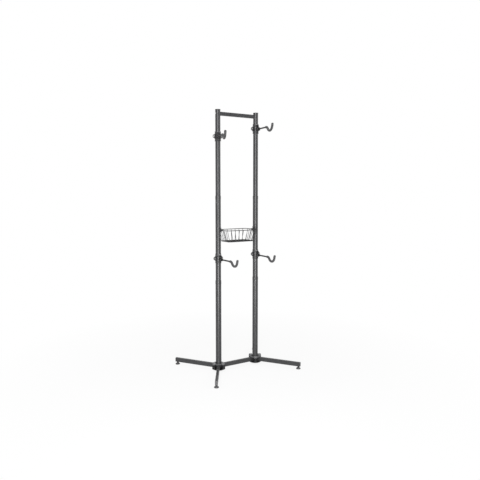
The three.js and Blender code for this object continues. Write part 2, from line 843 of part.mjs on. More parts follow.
function addArm(place, x, height, swivel, tubeRadius) {
  const arm = addGroup(rack, x, height, radians(swivel));
  addMesh(arm, `liner_bush_${place}`, linerBush(tubeRadius), blackPlastic);
  addMesh(arm, `clamp_front_${place}`, clampFront(), castBlack);
  addMesh(arm, `clamp_rear_${place}`, clampRear(), castBlack);
  addMesh(arm, `clamp_bolt_a_${place}`, clampBolt(-clampBoltReach), zincSteel);
  addMesh(arm, `clamp_bolt_b_${place}`, clampBolt(clampBoltReach), zincSteel);
  addMesh(arm, `lock_screw_${place}`, lockScrew(), zincSteel);
  addMesh(arm, `arm_rod_${place}`, armRod(), blackSteel);
  addMesh(arm, `hook_sleeve_${place}`, hookSleeve(), greyRubber);
}

addBase();
addPosts();
addArm("lower_left", -postX, lowerLeftArmHeight, lowerLeftArmSwivelAngle, middleTubeRadius);
addArm("lower_right", postX, lowerRightArmHeight, lowerRightArmSwivelAngle, middleTubeRadius);
addArm("upper_left", -postX, upperLeftArmHeight, upperLeftArmSwivelAngle, upperTubeRadius);
addArm("upper_right", postX, upperRightArmHeight, upperRightArmSwivelAngle, upperTubeRadius);
addMesh(rack, "wire_basket", wireBasket(), wireFinish);

export default rack;
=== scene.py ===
"""Visible surfaces of a two tier bike rack, made over its packed frame

Lengths are metres in the frame's own axes: +Z up, +X from the left post to the right, arms reaching to -Y.
"""

import json
import math

import bmesh
import bpy
from mathutils import Matrix, Vector


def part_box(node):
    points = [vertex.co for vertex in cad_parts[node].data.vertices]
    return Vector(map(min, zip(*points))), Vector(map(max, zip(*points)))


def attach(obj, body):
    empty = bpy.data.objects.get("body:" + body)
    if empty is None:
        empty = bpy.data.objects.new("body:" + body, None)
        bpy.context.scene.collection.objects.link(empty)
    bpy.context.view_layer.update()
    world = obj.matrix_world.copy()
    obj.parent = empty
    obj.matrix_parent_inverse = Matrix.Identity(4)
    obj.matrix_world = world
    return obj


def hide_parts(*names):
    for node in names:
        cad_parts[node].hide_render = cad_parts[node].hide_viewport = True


bl_info = {
    "name": "Two tier bike rack",
    "version": (1, 0, 0),
    "blender": (4, 5, 0),
    "location": "3D View > Sidebar > Bike Rack",
    "description": "Makes the posts, base, arms and basket of a two tier bike rack",
    "category": "Object",
}

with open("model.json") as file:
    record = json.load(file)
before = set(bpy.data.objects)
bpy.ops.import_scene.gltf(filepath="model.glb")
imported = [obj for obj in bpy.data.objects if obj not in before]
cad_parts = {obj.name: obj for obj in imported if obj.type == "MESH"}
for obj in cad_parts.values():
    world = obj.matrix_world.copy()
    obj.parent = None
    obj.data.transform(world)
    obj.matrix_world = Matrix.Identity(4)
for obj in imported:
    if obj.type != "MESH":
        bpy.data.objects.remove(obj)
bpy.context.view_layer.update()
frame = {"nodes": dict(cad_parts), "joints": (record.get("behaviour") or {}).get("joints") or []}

SIDES = ("left", "right")
CORNERS = ("left_rear", "left_front", "right_front", "right_rear")
ARM_PLACES = ("lower_left", "lower_right", "upper_left", "upper_right")
HEX_SIDES = 6
WHITE = (1, 1, 1, 1)

# Softened edges of cut pieces, and the cells that castings are fused from
STRAP_BEVEL, CAP_BEVEL, NUT_BEVEL, BOLT_BEVEL = 0.0005, 0.0009, 0.0004, 0.0003
HUB_CELL, CLAMP_CELL = 0.0009, 0.0007

# Points closer than this are one, and edges that bend by more degrees than this are hard
LEAST_GAP, HARD_EDGE = 1e-7, 35

# How fine the orange peel of a coat is
TUBE_PEEL_SCALE, WIRE_PEEL_SCALE = 900, 700

# A noise lies mostly between these
NOISE_LOW, NOISE_HIGH = 0.3, 0.7

# The camera's sensor in millimetres, and the stretch that it sees in metres
SENSOR_WIDTH, CLIP_NEAR, CLIP_FAR = 36, 0.05, 200

# Each soft box: place, target, breadth, height and the property that holds its power
SOFT_BOXES = {
    "key_lamp": ((-3.5, -5.1, 2.1), (0, 0, 1.2), 1.2, 3.8, "key_power"),
    "low_lamp": ((-1.6, -2.45, 0.32), (0, 0, 0.2), 0.8, 0.6, "low_power"),
    "fill_lamp": ((4.0, -1.6, 2.0), (0, 0, 1.2), 2.0, 3.0, "fill_power"),
    "top_lamp": ((-0.6, 0.9, 4.6), (0, 0, 1.2), 2.6, 2.6, "top_power"),
}


def length(name, description, default):
    """A length property in metres"""
    return bpy.props.FloatProperty(
        name=name, description=description, default=default, min=0, precision=5,
        unit="LENGTH", subtype="DISTANCE",
    )


def angle(name, description, degrees):
    """An angle property, given in degrees"""
    return bpy.props.FloatProperty(
        name=name, description=description, default=math.radians(degrees),
        unit="ROTATION", subtype="ANGLE",
    )


def number_of(name, description, default):
    """A whole number of like things"""
    return bpy.props.IntProperty(name=name, description=description, default=default, min=2)


def colour(name, description, default):
    """A colour property"""
    return bpy.props.FloatVectorProperty(
        name=name, description=description, default=default, size=3, min=0, max=1, subtype="COLOR",
    )


def share(name, description, default):
    """A plain number from 0 to 1"""
    return bpy.props.FloatProperty(
        name=name, description=description, default=default, min=0, max=1, subtype="FACTOR",
    )


def power(name, description, default):
    """A lamp's power in watts"""
    return bpy.props.FloatProperty(name=name, description=description, default=default, min=0, unit="POWER")


class RackFinishes(bpy.types.PropertyGroup):
    """Colours, roughness and gloss of the rack's finishes"""

    powder_coat: colour("Powder coat", "Coat of the posts, bars, legs and straps", (0.024, 0.024, 0.0254))
    rod_coat: colour("Rod coat", "Coat of the arms' rods", (0.008, 0.008, 0.0085))
    # The lug crown colour is a painted highlight, laid over the tops of the hubs' lugs where the top light
    # falls
    lug_crown: colour("Lug crown", "Pale crowns of the lugs on the hubs", (0.105, 0.105, 0.108))
    # The boss crown colour is a painted highlight on top of the lock screws' bosses, where the top light
    # falls
    boss_painted_highlight: colour("Boss crown", "Pale tops of the lock screws' bosses", (0.15, 0.15, 0.154))
    # The ear coat is a paler tone laid over the clamps' ears
    ear_coat: colour("Ear coat", "Paler coat of the clamps' ears", (0.085, 0.085, 0.088))
    casting_coat: colour("Casting coat", "Coat of the arms' clamps", (0.010, 0.010, 0.011))
    hub_coat: colour("Hub coat", "Coat of the hubs' bowls and of the lugs' sides", (0.006, 0.006, 0.0065))
    plastic: colour("Plastic", "Post caps and bushes", (0.018, 0.018, 0.019))
    # The end cap plastic is paler than the other plastic as painted light, because the caps' faces turn
    # towards the key lamp
    end_plastic_painted_lit: colour("End cap plastic", "End caps of the legs", (0.050, 0.050, 0.052))
    pad_plastic: colour("Pad plastic", "Pads of the levelling feet", (0.045, 0.045, 0.047))
    rubber: colour("Rubber", "Sleeves on the hooks", (0.030, 0.030, 0.031))
    zinc: colour("Zinc", "Hub bolts, ear bolts and crossbar screws", (0.42, 0.42, 0.415))
    black_zinc: colour("Black zinc", "Lock screws", (0.035, 0.035, 0.037))
    foot_zinc: colour("Foot zinc", "Studs and nuts of the levelling feet", (0.075, 0.075, 0.078))
    wire_coat: colour("Wire coat", "Coat of the basket's wires", (0.012, 0.012, 0.013))
    floor: colour("Floor", "Floor under the rack", (0.90, 0.90, 0.90))
    coat_roughness: share("Coat roughness", "Roughness of the powder coat", 0.34)
    coat_gloss: share("Coat gloss", "Gloss level of the powder coat", 0.45)
    wire_roughness: share("Wire roughness", "Roughness of the wire coat", 0.40)
    rod_roughness: share("Rod roughness", "Roughness of the rod coat", 0.45)
    thin_coat_gloss: share("Thin coat gloss", "Gloss level of the wire and rod coats", 0.25)
    clamp_roughness: share("Clamp roughness", "Roughness of the clamps", 0.34)
    clamp_gloss: share("Clamp gloss", "Gloss level of the clamps", 0.38)
    hub_roughness: share("Hub roughness", "Roughness of the hubs", 0.36)
    hub_gloss: share("Hub gloss", "Gloss level of the hubs", 0.25)
    plastic_roughness: share("Plastic roughness", "Roughness of the post caps and bushes", 0.52)
    end_roughness: share("End cap roughness", "Roughness of the legs' end caps", 0.45)
    pad_roughness: share("Pad roughness", "Roughness of the levelling feet's pads", 0.30)


class RackTubeSizes(bpy.types.PropertyGroup):
    """Sizes of the posts and their caps, the base tubes and the top crossbar"""

    lower_radius: length("Lower tube radius", "Outer radius of a post's lower tube", 0.0235)
    middle_radius: length("Middle tube radius", "Outer radius of a post's middle tube", 0.022)
    upper_radius: length("Upper tube radius", "Outer radius of a post's upper tube", 0.0205)
    wall: length("Wall", "Wall of the round tubes", 0.0012)
    band_height: length("Mouth band height", "Height of the swaged band at a tube's mouth", 0.025)
    band_rise: length("Mouth band rise", "How far the band stands out of its tube", 0.0008)
    lip: length("Lip", "Rounding of a tube's cut end", 0.0005)
    bar_width: length("Bar width", "Width of the base tubes", 0.022)
    bar_height: length("Bar height", "Height of the base tubes", 0.035)
    bar_corner: length("Bar corner", "Outer corner radius of the base tubes", 0.004)
    crossbar_width: length("Crossbar width", "Width of the top crossbar", 0.020)
    crossbar_height: length("Crossbar height", "Height of the top crossbar", 0.030)
    crossbar_corner: length("Crossbar corner", "Outer corner radius of the top crossbar", 0.005)
    bar_wall: length("Bar wall", "Wall of the rectangular tubes", 0.0015)
    cap_overhang: length("Cap overhang", "How far a post's cap stands past its tube", 0.001)
    cap_edge: length("Cap edge", "Rounding of a post cap's rim", 0.0016)
    cap_dome: length("Cap dome", "Rise of a post cap's crown", 0.0012)
    cap_slack: length("Cap slack", "Gap between a cap's plug and the tube's bore", 0.00024)
    screw_head: length("Crossbar screw", "Radius of a crossbar screw's head", 0.00546)
    screw_rise: length("Crossbar screw rise", "Height of a crossbar screw's head", 0.00318)
    screw_socket: length("Crossbar screw socket", "Radius of a crossbar screw's socket", 0.0022932)
    socket_depth: length("Crossbar socket depth", "Depth of a crossbar screw's socket", 0.002226)


class RackHubSizes(bpy.types.PropertyGroup):
    """Sizes of the two hubs and the levelling feet"""

    dish_radius: length("Bowl radius", "Radius of the lower bowl's rim", 0.054)
    dish_foot_radius: length("Bowl foot radius", "Radius of the lower bowl's foot", 0.035)
    dish_bottom: length("Bowl bottom", "Height of the bowl's foot above the floor", 0.008)
    dish_lean: length("Bowl lean", "Height that the bowl's side leans to", 0.0104)
    dish_rim: length("Bowl rim", "Height of the bowl's upright rim", 0.004)
    dish_wall: length("Bowl wall", "Breadth of the bowl's foot ring", 0.008)
    plate_radius: length("Plate radius", "Radius of the upper plate", 0.047)
    plate_height: length("Plate height", "Thickness of the upper plate", 0.005)
    collar_wall: length("Collar wall", "Wall of the collar round the post", 0.004)
    collar_top: length("Collar top", "Height of the collar above the floor", 0.069)
    lug_radius: length("Lug radius", "Radius of a lug", 0.016)
    lug_circle: length("Lug circle", "Radius from the post to a lug's middle", 0.0435)
    lug_top: length("Lug top", "Height of a lug above the floor", 0.074)
    lug_crown: length("Lug crown", "Radius of the flat crown on a lug", 0.011)
    lug_drop: length("Lug drop", "Height of the dome on a lug", 0.011)
    # The painted highlight on the lugs fades in over this stretch past the collar
    highlight_fade: length("Rub fade", "How far past the collar the pale lugs fade in", 0.002)
    pocket_radius: length("Pocket radius", "Radius of the bolt's pocket in a lug", 0.009)
    pocket_depth: length("Pocket depth", "Depth of the bolt's pocket in a lug", 0.0055)
    fit: length("Fit", "Gap between pieces that touch", 0.0003)
    pad_radius: length("Pad radius", "Radius of a foot's pad", 0.019)
    pad_rim: length("Pad rim", "Height of the pad's upright rim", 0.008)
    pad_edge: length("Pad edge", "Rounding of the pad's rim", 0.0032)
    pad_ledge: length("Pad ledge", "Radius where the pad's slope begins", 0.01548)
    pad_waist: length("Pad waist", "Radius that the pad's slope leans to", 0.0135)
    pad_waist_height: length("Pad waist height", "Height that the pad's slope leans to", 0.01008)
    pad_shoulder: length("Pad shoulder", "Radius of the pad's top", 0.010)
    pad_height: length("Pad height", "Height of a foot's pad", 0.016)
    foot_nut: length("Foot nut", "Height of a foot's nut", 0.004)
    stud_radius: length("Stud radius", "Radius of a foot's threaded stud", 0.004)
    thread_pitch: length("Thread pitch", "Pitch of the threads", 0.00125)
    thread_depth: length("Thread depth", "Depth of the threads", 0.0006)
    bolt_flats: length("Bolt flats", "Width over flats of the hub bolts and foot nuts", 0.013)
    bolt_head: length("Bolt head", "Height of a hub bolt's head with its washer", 0.0053)
    washer_height: length("Washer height", "Thickness of a washer", 0.0012)
    washer_radius: length("Washer radius", "Radius of a washer", 0.00806)


class RackArmSizes(bpy.types.PropertyGroup):
    """Sizes of an arm: its clamp, rod and hook, with heights from the rod's axis"""

    bush_radius: length("Bush radius", "Outer radius of the liner bush", 0.0242)
    bush_flange: length("Bush flange", "Radius of the bush's flange", 0.0265)
    clamp_wall: length("Clamp wall", "Wall of the clamp round the bush", 0.0045)
    overlap: length("Overlap", "How far the castings' parts sink into each other", 0.00045)
    band_rise: length("Band rise", "Height of the band's middle above the rod", 0.006)
    band_half: length("Band half height", "Half height of the clamp's band", 0.018)
    split: length("Split", "Gap between the clamp's halves", 0.002)
    saddle_top: length("Saddle top", "Top of the tall saddle in front", 0.042)
    saddle_bottom: length("Saddle bottom", "Depth of the saddle below the rod", 0.030)
    saddle_half: length("Saddle half width", "Half width of the saddle", 0.013)
    ear_reach: length("Ear reach", "From the post's axis to an ear's end", 0.0405)
    ear_half: length("Ear half height", "Half height of an ear", 0.014)
    ear_thickness: length("Ear thickness", "Thickness of an ear", 0.006)
    ear_corner: length("Ear corner", "Corner radius of an ear", 0.009)
    bolt_reach: length("Bolt reach", "From the post's axis to an ear bolt", 0.0345)
    bolt_radius: length("Bolt radius", "Radius of an ear bolt's thread", 0.003)
    bolt_flats: length("Bolt flats", "Width over flats of an ear bolt and its nut", 0.010)
    bolt_head: length("Bolt head", "Height of an ear bolt's head", 0.004)
    nut_height: length("Nut height", "Height of an ear bolt's nut", 0.005)
    bolt_tail: length("Bolt tail", "How far a bolt stands past its nut", 0.002)
    web_half: length("Web half width", "Half width of the web", 0.007)
    nose_radius: length("Nose radius", "Radius of the rod's socket", 0.013)
    nose_reach: length("Nose reach", "From the post's axis to the nose's face", 0.058)
    nose_chamfer: length("Nose chamfer", "Chamfer of the nose", 0.0025)
    screw_rise: length("Screw rise", "Height of the lock screw above the rod", 0.027)
    screw_boss: length("Screw boss", "Radius of the lock screw's boss", 0.011)
    screw_reach: length("Screw reach", "From the post's axis to the boss's face", 0.036)
    screw_head: length("Screw head", "Radius of the lock screw's head", 0.008)
    screw_height: length("Screw height", "Height of the lock screw's head", 0.008)
    socket_depth: length("Socket depth", "Depth of the lock screw's socket", 0.0048)
    screw_shank: length("Screw shank", "Radius of the lock screw's shank", 0.004)
    rod_radius: length("Rod radius", "Radius of the steel rod", 0.006)
    rod_start: length("Rod start", "Where the rod begins in its socket", 0.0283)
    bend_reach: length("Bend reach", "Where the rod begins to drop", 0.191)
    bend_radius: length("Bend radius", "Radius of the first bend", 0.022)
    drop_angle: angle("Drop angle", "How far the rod turns down", 50)
    drop_run: length("Drop run", "Straight run between the bends", 0.0132)
    cradle_radius: length("Cradle radius", "Radius of the hook's cradle", 0.040)
    cradle_turn: angle("Cradle turn", "How far the cradle turns up", 125)
    tip_run: length("Tip run", "Straight run to the hook's tip", 0.019)
    sleeve_radius: length("Sleeve radius", "Radius of the rubber sleeve", 0.0095)
    sleeve_lead: length("Sleeve lead", "How far the sleeve starts before the bend", 0.008)
    sleeve_lip: length("Sleeve lip", "Height of the rolled lip at its start", 0.0009)


class RackBasketSizes(bpy.types.PropertyGroup):
    """Sizes of the wire basket and its two hooks"""

    rim_corner: length("Rim corner", "Corner radius of the rim", 0.028)
    floor_corner: length("Floor corner", "Corner radius of the floor frame", 0.018)
    end_flare: length("End flare", "How far an end wall leans out", 0.031)
    side_flare: length("Side flare", "How far a side wall leans out", 0.027)
    depth: length("Depth", "From the rim to the floor frame", 0.093)
    frame_wire: length("Frame wire", "Radius of the rim and floor wires", 0.0026)
    mesh_wire: length("Mesh wire", "Radius of the thin wires", 0.0017)
    wire_coat: length("Wire coat", "Thickness of the coat on all the wires", 0.00025)
    wire_bend: length("Wire bend", "Bend radius of a thin wire at the floor", 0.008)
    floor_drop: length("Floor drop", "How far the long floor wires lie below", 0.0026)
    long_wires: number_of("Long wall wires", "Wires on each long wall", 7)
    short_wires: number_of("Short wall wires", "Wires on each end wall", 6)
    wire_span: share("Wire span", "Part of a wall's straight stretch that the wires fill", 0.97)
    strap_thickness: length("Strap thickness", "Thickness of the hook's strap", 0.0026)
    strap_width: length("Strap width", "Width of the hook's strap", 0.018)
    strap_rise: length("Strap rise", "How far the strap reaches above the rim", 0.022)
    strap_drop: length("Strap drop", "How far the strap reaches below the rim", 0.012)
    strap_lip: length("Strap lip", "Height of the hook's lip", 0.007)
    rim_gap: length("Rim gap", "From the post's face to the rim's wire", 0.011)


class RackViewSizes(bpy.types.PropertyGroup):
    """Camera and lamps"""

    camera_place: bpy.props.FloatVectorProperty(
        name="Camera place", description="Where the camera stands", size=3,
        default=(-2.3674, -3.7109, 1.4792), subtype="TRANSLATION", unit="LENGTH",
    )
    camera_turn: angle("Camera turn", "Direction of view from +X towards +Y", 57.16)
    camera_tilt: angle("Camera tilt", "How far the camera looks down", 5.19)
    camera_lens: bpy.props.FloatProperty(
        name="Camera lens", description="Focal length on a 36 mm sensor", default=39.83, unit="CAMERA",
    )
    floor_reach: length("Floor reach", "Half the floor's side", 30)
    shadow_reach: length("Shadow reach", "Where the floor's shading has faded to white", 2.2)
    key_power: power("Key power", "Power of the tall soft box behind the camera", 330)
    fill_power: power("Fill power", "Power of the soft box on the other side", 35)
    top_power: power("Top power", "Power of the soft box overhead", 45)
    low_power: power("Low power", "Power of the low soft box in front", 48)
    sky_level: share("Sky level", "Light from all round", 0.36)


GROUPS = {
    "rack_finishes": RackFinishes,
    "rack_tubes": RackTubeSizes,
    "rack_hubs": RackHubSizes,
    "rack_arms": RackArmSizes,
    "rack_basket": RackBasketSizes,
    "rack_view": RackViewSizes,
}


# Shells: closed surfaces kept as a list of points and a list of faces


def skin(rings, sides, closed=False):
    """Faces round a row of rings of points, which meets its start again or is capped at both ends"""
    faces = []
    for ring in range(rings if closed else rings - 1):
        here, there = ring * sides, (ring + 1) % rings * sides
        for side in range(sides):
            after = (side + 1) % sides
            faces.append((here + side, here + after, there + after, there + side))
    if not closed:
        faces += [tuple(range(sides)), tuple(range((rings - 1) * sides, rings * sides))]
    return faces


def lathe(profile, steps=64, start=0.0, turn=math.tau):
    """Shell of a closed [radius, height] profile turned about Z, all the way or in part"""
    whole = turn == math.tau
    columns = steps if whole else steps + 1
    points = []
    for column in range(columns):
        heading = start + turn * column / steps
        points += [(r * math.cos(heading), r * math.sin(heading), z) for r, z in profile]
    return points, skin(columns, len(profile), closed=whole)


def ring(inner, outer, low, high, **turned):
    """Shell of a ring with a square section, or of a disc where the inner radius is zero"""
    return lathe([(inner, low), (outer, low), (outer, high), (inner, high)], **turned)


def prism(outline, low, high):
    """Shell of an outline in X and Y, drawn up from one height to another"""
    points = [(x, y, z) for z in (low, high) for x, y in outline]
    return points, skin(2, len(outline))


def pipe(outer, inner, low, high):
    """Shell of a hollow bar between two outlines with as many points each"""
    rings = ((outer, low), (outer, high), (inner, high), (inner, low))
    points = [(x, y, z) for outline, z in rings for x, y in outline]
    return points, skin(len(rings), len(outer), closed=True)


def sweep(stations, radii, sides=24, closed=False):
    """Shell of a round bar through stations, each a point and a heading"""
    across = stations[0][1].orthogonal().normalized()
    points = []
    for index, (point, heading) in enumerate(stations):
        if index:
            across.rotate(stations[index - 1][1].rotation_difference(heading))
        other = heading.cross(across).normalized()
        for side in range(sides):
            turn = math.tau * side / sides
            points.append(tuple(point + (across * math.cos(turn) + other * math.sin(turn)) * radii[index]))
    return points, skin(len(stations), sides, closed)


def threaded_rod(radius, depth, pitch, low, high, sides=24, rows=5):
    """Shell of a bar with a helical thread, drawn with some rows of points for each turn"""
    count = max(2, round((high - low) / pitch * rows))
    points = []
    for row in range(count + 1):
        height = low + (high - low) * row / count
        for side in range(sides):
            phase = (row / rows - side / sides) % 1
            reach = radius - depth * abs(2 * phase - 1)
            turn = math.tau * side / sides
            points.append((reach * math.cos(turn), reach * math.sin(turn), height))
    return points, skin(count + 1, sides)


def lifted(height):
    """Moves what is drawn up"""
    return Matrix.Translation((0, 0, height))


def placed(shell, matrix):
    """The shell moved by a matrix"""
    points, faces = shell
    return [tuple(matrix @ Vector(p)) for p in points], faces


def together(*shells):
    """Several shells as one"""
    points, faces = [], []
    for some_points, some_faces in shells:
        faces += [tuple(len(points) + corner for corner in face) for face in some_faces]
        points += some_points
    return points, faces


# Outlines and routes


def arc(centre, radius, start, end, steps):
    """Points on an arc, angles in degrees"""
    turns = [math.radians(start + (end - start) * step / steps) for step in range(steps + 1)]
    return [(centre[0] + radius * math.cos(t), centre[1] + radius * math.sin(t)) for t in turns]


def rounded_rectangle(width, height, corner, steps=6):
    """Outline of a rectangle with round corners about the origin"""
    x, y = width / 2 - corner, height / 2 - corner
    centres = ((x, y), (-x, y), (-x, -y), (x, -y))
    return [p for i, c in enumerate(centres) for p in arc(c, corner, 90 * i, 90 * i + 90, steps)]


def tube_outlines(width, height, corner, wall):
    """Outer and inner outlines of a rectangular tube"""
    outer = rounded_rectangle(width, height, corner)
    return outer, rounded_rectangle(width - 2 * wall, height - 2 * wall, corner - wall)


def hexagon(flats):
    """Outline of a hexagon from its width over flats"""
    radius = flats / 2 / math.cos(math.pi / HEX_SIDES)
    return arc((0, 0), radius, 0, 360 - 360 / HEX_SIDES, steps=HEX_SIDES - 1)


def quadratic(start, control, end, steps=8):
    """Points of a curve from start to end that leans to its control point"""
    points = []
    for step in range(steps + 1):
        t = step / steps
        points.append(tuple(
            (1 - t) ** 2 * a + 2 * t * (1 - t) * b + t**2 * c for a, b, c in zip(start, control, end)
        ))
    return points


class HookRoute:
    """A route in an arm's upright plane, made of straight runs and bends"""

    bend_step = math.radians(5)

    def __init__(self, reach):
        """Starts level, at a reach from the post's axis"""
        self.reach, self.height, self.heading = reach, 0.0, 0.0
        self.stations = []
        self.mark()

    def mark(self):
        """Adds a station where the route has come to"""
        point = Vector((0, -self.reach, self.height))
        self.stations.append((point, Vector((0, -math.cos(self.heading), math.sin(self.heading)))))

    def run(self, distance):
        """Goes straight on"""
        self.reach += distance * math.cos(self.heading)
        self.height += distance * math.sin(self.heading)
        self.mark()

    def bend(self, radius, turn):
        """Turns upwards, or downwards where the turn is less than zero"""
        way = math.copysign(1, turn)
        centre_reach = self.reach - way * radius * math.sin(self.heading)
        centre_height = self.height + way * radius * math.cos(self.heading)
        first, steps = self.heading, max(1, round(abs(turn) / self.bend_step))
        for step in range(1, steps + 1):
            self.heading = first + turn * step / steps
            self.reach = centre_reach + way * radius * math.sin(self.heading)
            self.height = centre_height - way * radius * math.cos(self.heading)
            self.mark()


def hook_route(start, tip_run):
    """The rod's bends from a start on its straight part to the hook's tip"""
    arm = bpy.context.scene.rack_arms
    route = HookRoute(start)
    route.run(arm.bend_reach - start)
    route.bend(arm.bend_radius, -arm.drop_angle)
    route.run(arm.drop_run)
    route.bend(arm.cradle_radius, arm.cradle_turn)
    route.run(tip_run)
    return route.stations


def bent_wire(corners, radius, steps=6):
    """Stations along straight runs between corners, each inner corner rounded"""
    stations = [(corners[0], (corners[1] - corners[0]).normalized())]
    for before, corner, after in zip(corners, corners[1:], corners[2:]):
        arriving, leaving = (corner - before).normalized(), (after - corner).normalized()
        turn, axis = arriving.angle(leaving), arriving.cross(leaving).normalized()
        start = corner - arriving * radius * math.tan(turn / 2)
        centre = start + axis.cross(arriving) * radius
        for step in range(steps + 1):
            rotation = Matrix.Rotation(turn * step / steps, 3, axis)
            stations.append((centre + rotation @ (start - centre), rotation @ arriving))
    stations.append((corners[-1], (corners[-1] - corners[-2]).normalized()))
    return stations


def wire_loop(size, corner, height, steps=6):
    """Stations round a level loop with round corners"""
    turns = [math.pi / 2 * (quarter + step / steps) for quarter in range(4) for step in range(steps + 1)]
    return [
        (Vector((x, y, height)), Vector((-math.sin(turn), math.cos(turn), 0)))
        for (x, y), turn in zip(rounded_rectangle(*size, corner, steps), turns)
    ]


# Meshes and pieces


def mesh_of(name, shell, bevel=0.0, sharp=HARD_EDGE):
    """Mesh of a shell, its hard edges softened by a bevel, smooth but for edges past an angle"""
    points, faces = shell
    mesh = bpy.data.meshes.new(name)
    mesh.from_pydata(points, [], faces)
    work = bmesh.new()
    work.from_mesh(mesh)
    bmesh.ops.remove_doubles(work, verts=work.verts, dist=LEAST_GAP)
    bmesh.ops.recalc_face_normals(work, faces=work.faces)
    limit = math.radians(sharp)
    if bevel:
        hard = [e for e in work.edges if e.is_manifold and e.calc_face_angle() > limit]
        bmesh.ops.bevel(
            work, geom=hard, offset=bevel, segments=2, profile=0.5, affect="EDGES", clamp_overlap=True,
        )
    for face in work.faces:
        face.smooth = True
    for edge in work.edges:
        edge.smooth = edge.is_manifold and edge.calc_face_angle() < limit
    work.to_mesh(mesh)
    work.free()
    return mesh


def casting(name, shell, cell, passes=4, kept=0.35):
    """Mesh of overlapping shells fused into one casting with soft corners

    It is fused from cells, smoothed in some passes and thinned to a share of its faces.
    """
    blank = bpy.data.objects.new(name, mesh_of(name, shell))
    bpy.context.scene.collection.objects.link(blank)
    fuse = blank.modifiers.new("Fuse", "REMESH")
    fuse.mode, fuse.voxel_size, fuse.use_smooth_shade = "VOXEL", cell, True
    soften = blank.modifiers.new("Soften", "SMOOTH")
    soften.factor, soften.iterations = 0.5, passes
    thin = blank.modifiers.new("Thin", "DECIMATE")
    thin.ratio = kept
    evaluated = blank.evaluated_get(bpy.context.evaluated_depsgraph_get())
    mesh = bpy.data.meshes.new_from_object(evaluated)
    rough = blank.data
    bpy.data.objects.remove(blank)
    bpy.data.meshes.remove(rough)
    mesh.name = name
    return mesh


def add_piece(name, shape, look, stands_for=(), body="frame", matrix=None, bevel=0.0, sharp=HARD_EDGE):
    """A piece of the rack from a mesh or a shell: finished, placed and riding on its body"""
    mesh = shape if isinstance(shape, bpy.types.Mesh) else mesh_of(name, shape, bevel, sharp)
    if not mesh.materials:
        mesh.materials.append(finish(look))
    piece = bpy.data.objects.new(name, mesh)
    bpy.context.scene.collection.objects.link(piece)
    if matrix is not None:
        piece.matrix_world = matrix
    if any(not edge.use_edge_sharp for edge in mesh.edges):
        weigh = piece.modifiers.new("Even shading", "WEIGHTED_NORMAL")
        weigh.keep_sharp = True
    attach(piece, body)
    if stands_for:
        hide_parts(*stands_for)


# Finishes


def feed(tree, node, inputs):
    """Sets a node's inputs to values, or links them to other nodes' outputs"""
    for name, value in inputs.items():
        if isinstance(value, bpy.types.NodeSocket):
            tree.links.new(value, node.inputs[name])
        else:
            node.inputs[name].default_value = value


def new_node(tree, kind, inputs, operation=None):
    """A node of a kind with its inputs fed"""
    node = tree.nodes.new(kind)
    if operation:
        node.operation = operation
    feed(tree, node, inputs)
    return node


def own_place(tree):
    """Coordinates from a piece's own origin"""
    return tree.nodes.new("ShaderNodeTexCoord").outputs["Object"]


def own_axis(tree, axis):
    """X, Y or Z from a piece's own origin"""
    return new_node(tree, "ShaderNodeSeparateXYZ", {0: own_place(tree)}).outputs[axis]


def noise(tree, scale, detail=2.0, roughness=0.5):
    """A noise that stays with its piece"""
    inputs = {"Vector": own_place(tree), "Scale": scale, "Detail": detail, "Roughness": roughness}
    return new_node(tree, "ShaderNodeTexNoise", inputs).outputs["Fac"]


def ranged(tree, value, low, high, from_low=NOISE_LOW, from_high=NOISE_HIGH):
    """A value spread over a new range"""
    inputs = {"Value": value, "From Min": from_low, "From Max": from_high, "To Min": low, "To Max": high}
    return new_node(tree, "ShaderNodeMapRange", inputs).outputs["Result"]


def product(tree, first, second):
    """Two shares multiplied"""
    return new_node(tree, "ShaderNodeMath", {0: first, 1: second}, "MULTIPLY").outputs[0]


def distance_from_origin(tree, place):
    """How far a place is from the origin"""
    return new_node(tree, "ShaderNodeVectorMath", {0: place}, "LENGTH").outputs["Value"]


def mixed(tree, factor, first, second):
    """A colour between two others, the first a tone or an output"""
    node = tree.nodes.new("ShaderNodeMix")
    node.data_type = "RGBA"
    start = first if isinstance(first, bpy.types.NodeSocket) else (*first, 1)
    feed(tree, node, {"Factor": factor, "A": start, "B": (*second, 1)})
    return node.outputs["Result"]


def tinted(tone, factor):
    """A colour made lighter or darker"""
    return tuple(min(1.0, part * factor) for part in tone)


def mottled(tree, grain, tone, darkest, palest):
    """A tone that follows a grain from a darker to a paler one"""
    return mixed(tree, ranged(tree, grain, 0, 1), tinted(tone, darkest), tinted(tone, palest))


def uneven(tree, grain, roughness, smoother, rougher):
    """A roughness that follows a grain from a smoother to a rougher one"""
    return ranged(tree, grain, roughness - smoother, roughness + rougher)


def bumped(tree, height, depth, strength):
    """A bump from a height"""
    inputs = {"Strength": strength, "Distance": depth, "Height": height}
    return new_node(tree, "ShaderNodeBump", inputs).outputs["Normal"]


def new_finish(name):
    """An empty material, its tree and its shader"""
    material = bpy.data.materials.new(name)
    material.use_nodes = True
    tree = material.node_tree
    return material, tree, tree.nodes["Principled BSDF"]


def powder_coat_finish(name, tone, roughness, gloss, peel_scale):
    """Satin powder coat with a fine orange peel and slightly uneven gloss"""
    material, tree, shader = new_finish(name)
    cloud, patches = noise(tree, scale=26, detail=3), noise(tree, scale=90)
    peel = noise(tree, peel_scale, detail=1.5)
    feed(tree, shader, {
        "Base Color": mottled(tree, cloud, tone, darkest=0.82, palest=1.2),
        "Roughness": uneven(tree, patches, roughness, smoother=0.02, rougher=0.03),
        "Normal": bumped(tree, peel, depth=0.0004, strength=0.04),
        "Specular IOR Level": gloss,
    })
    return material


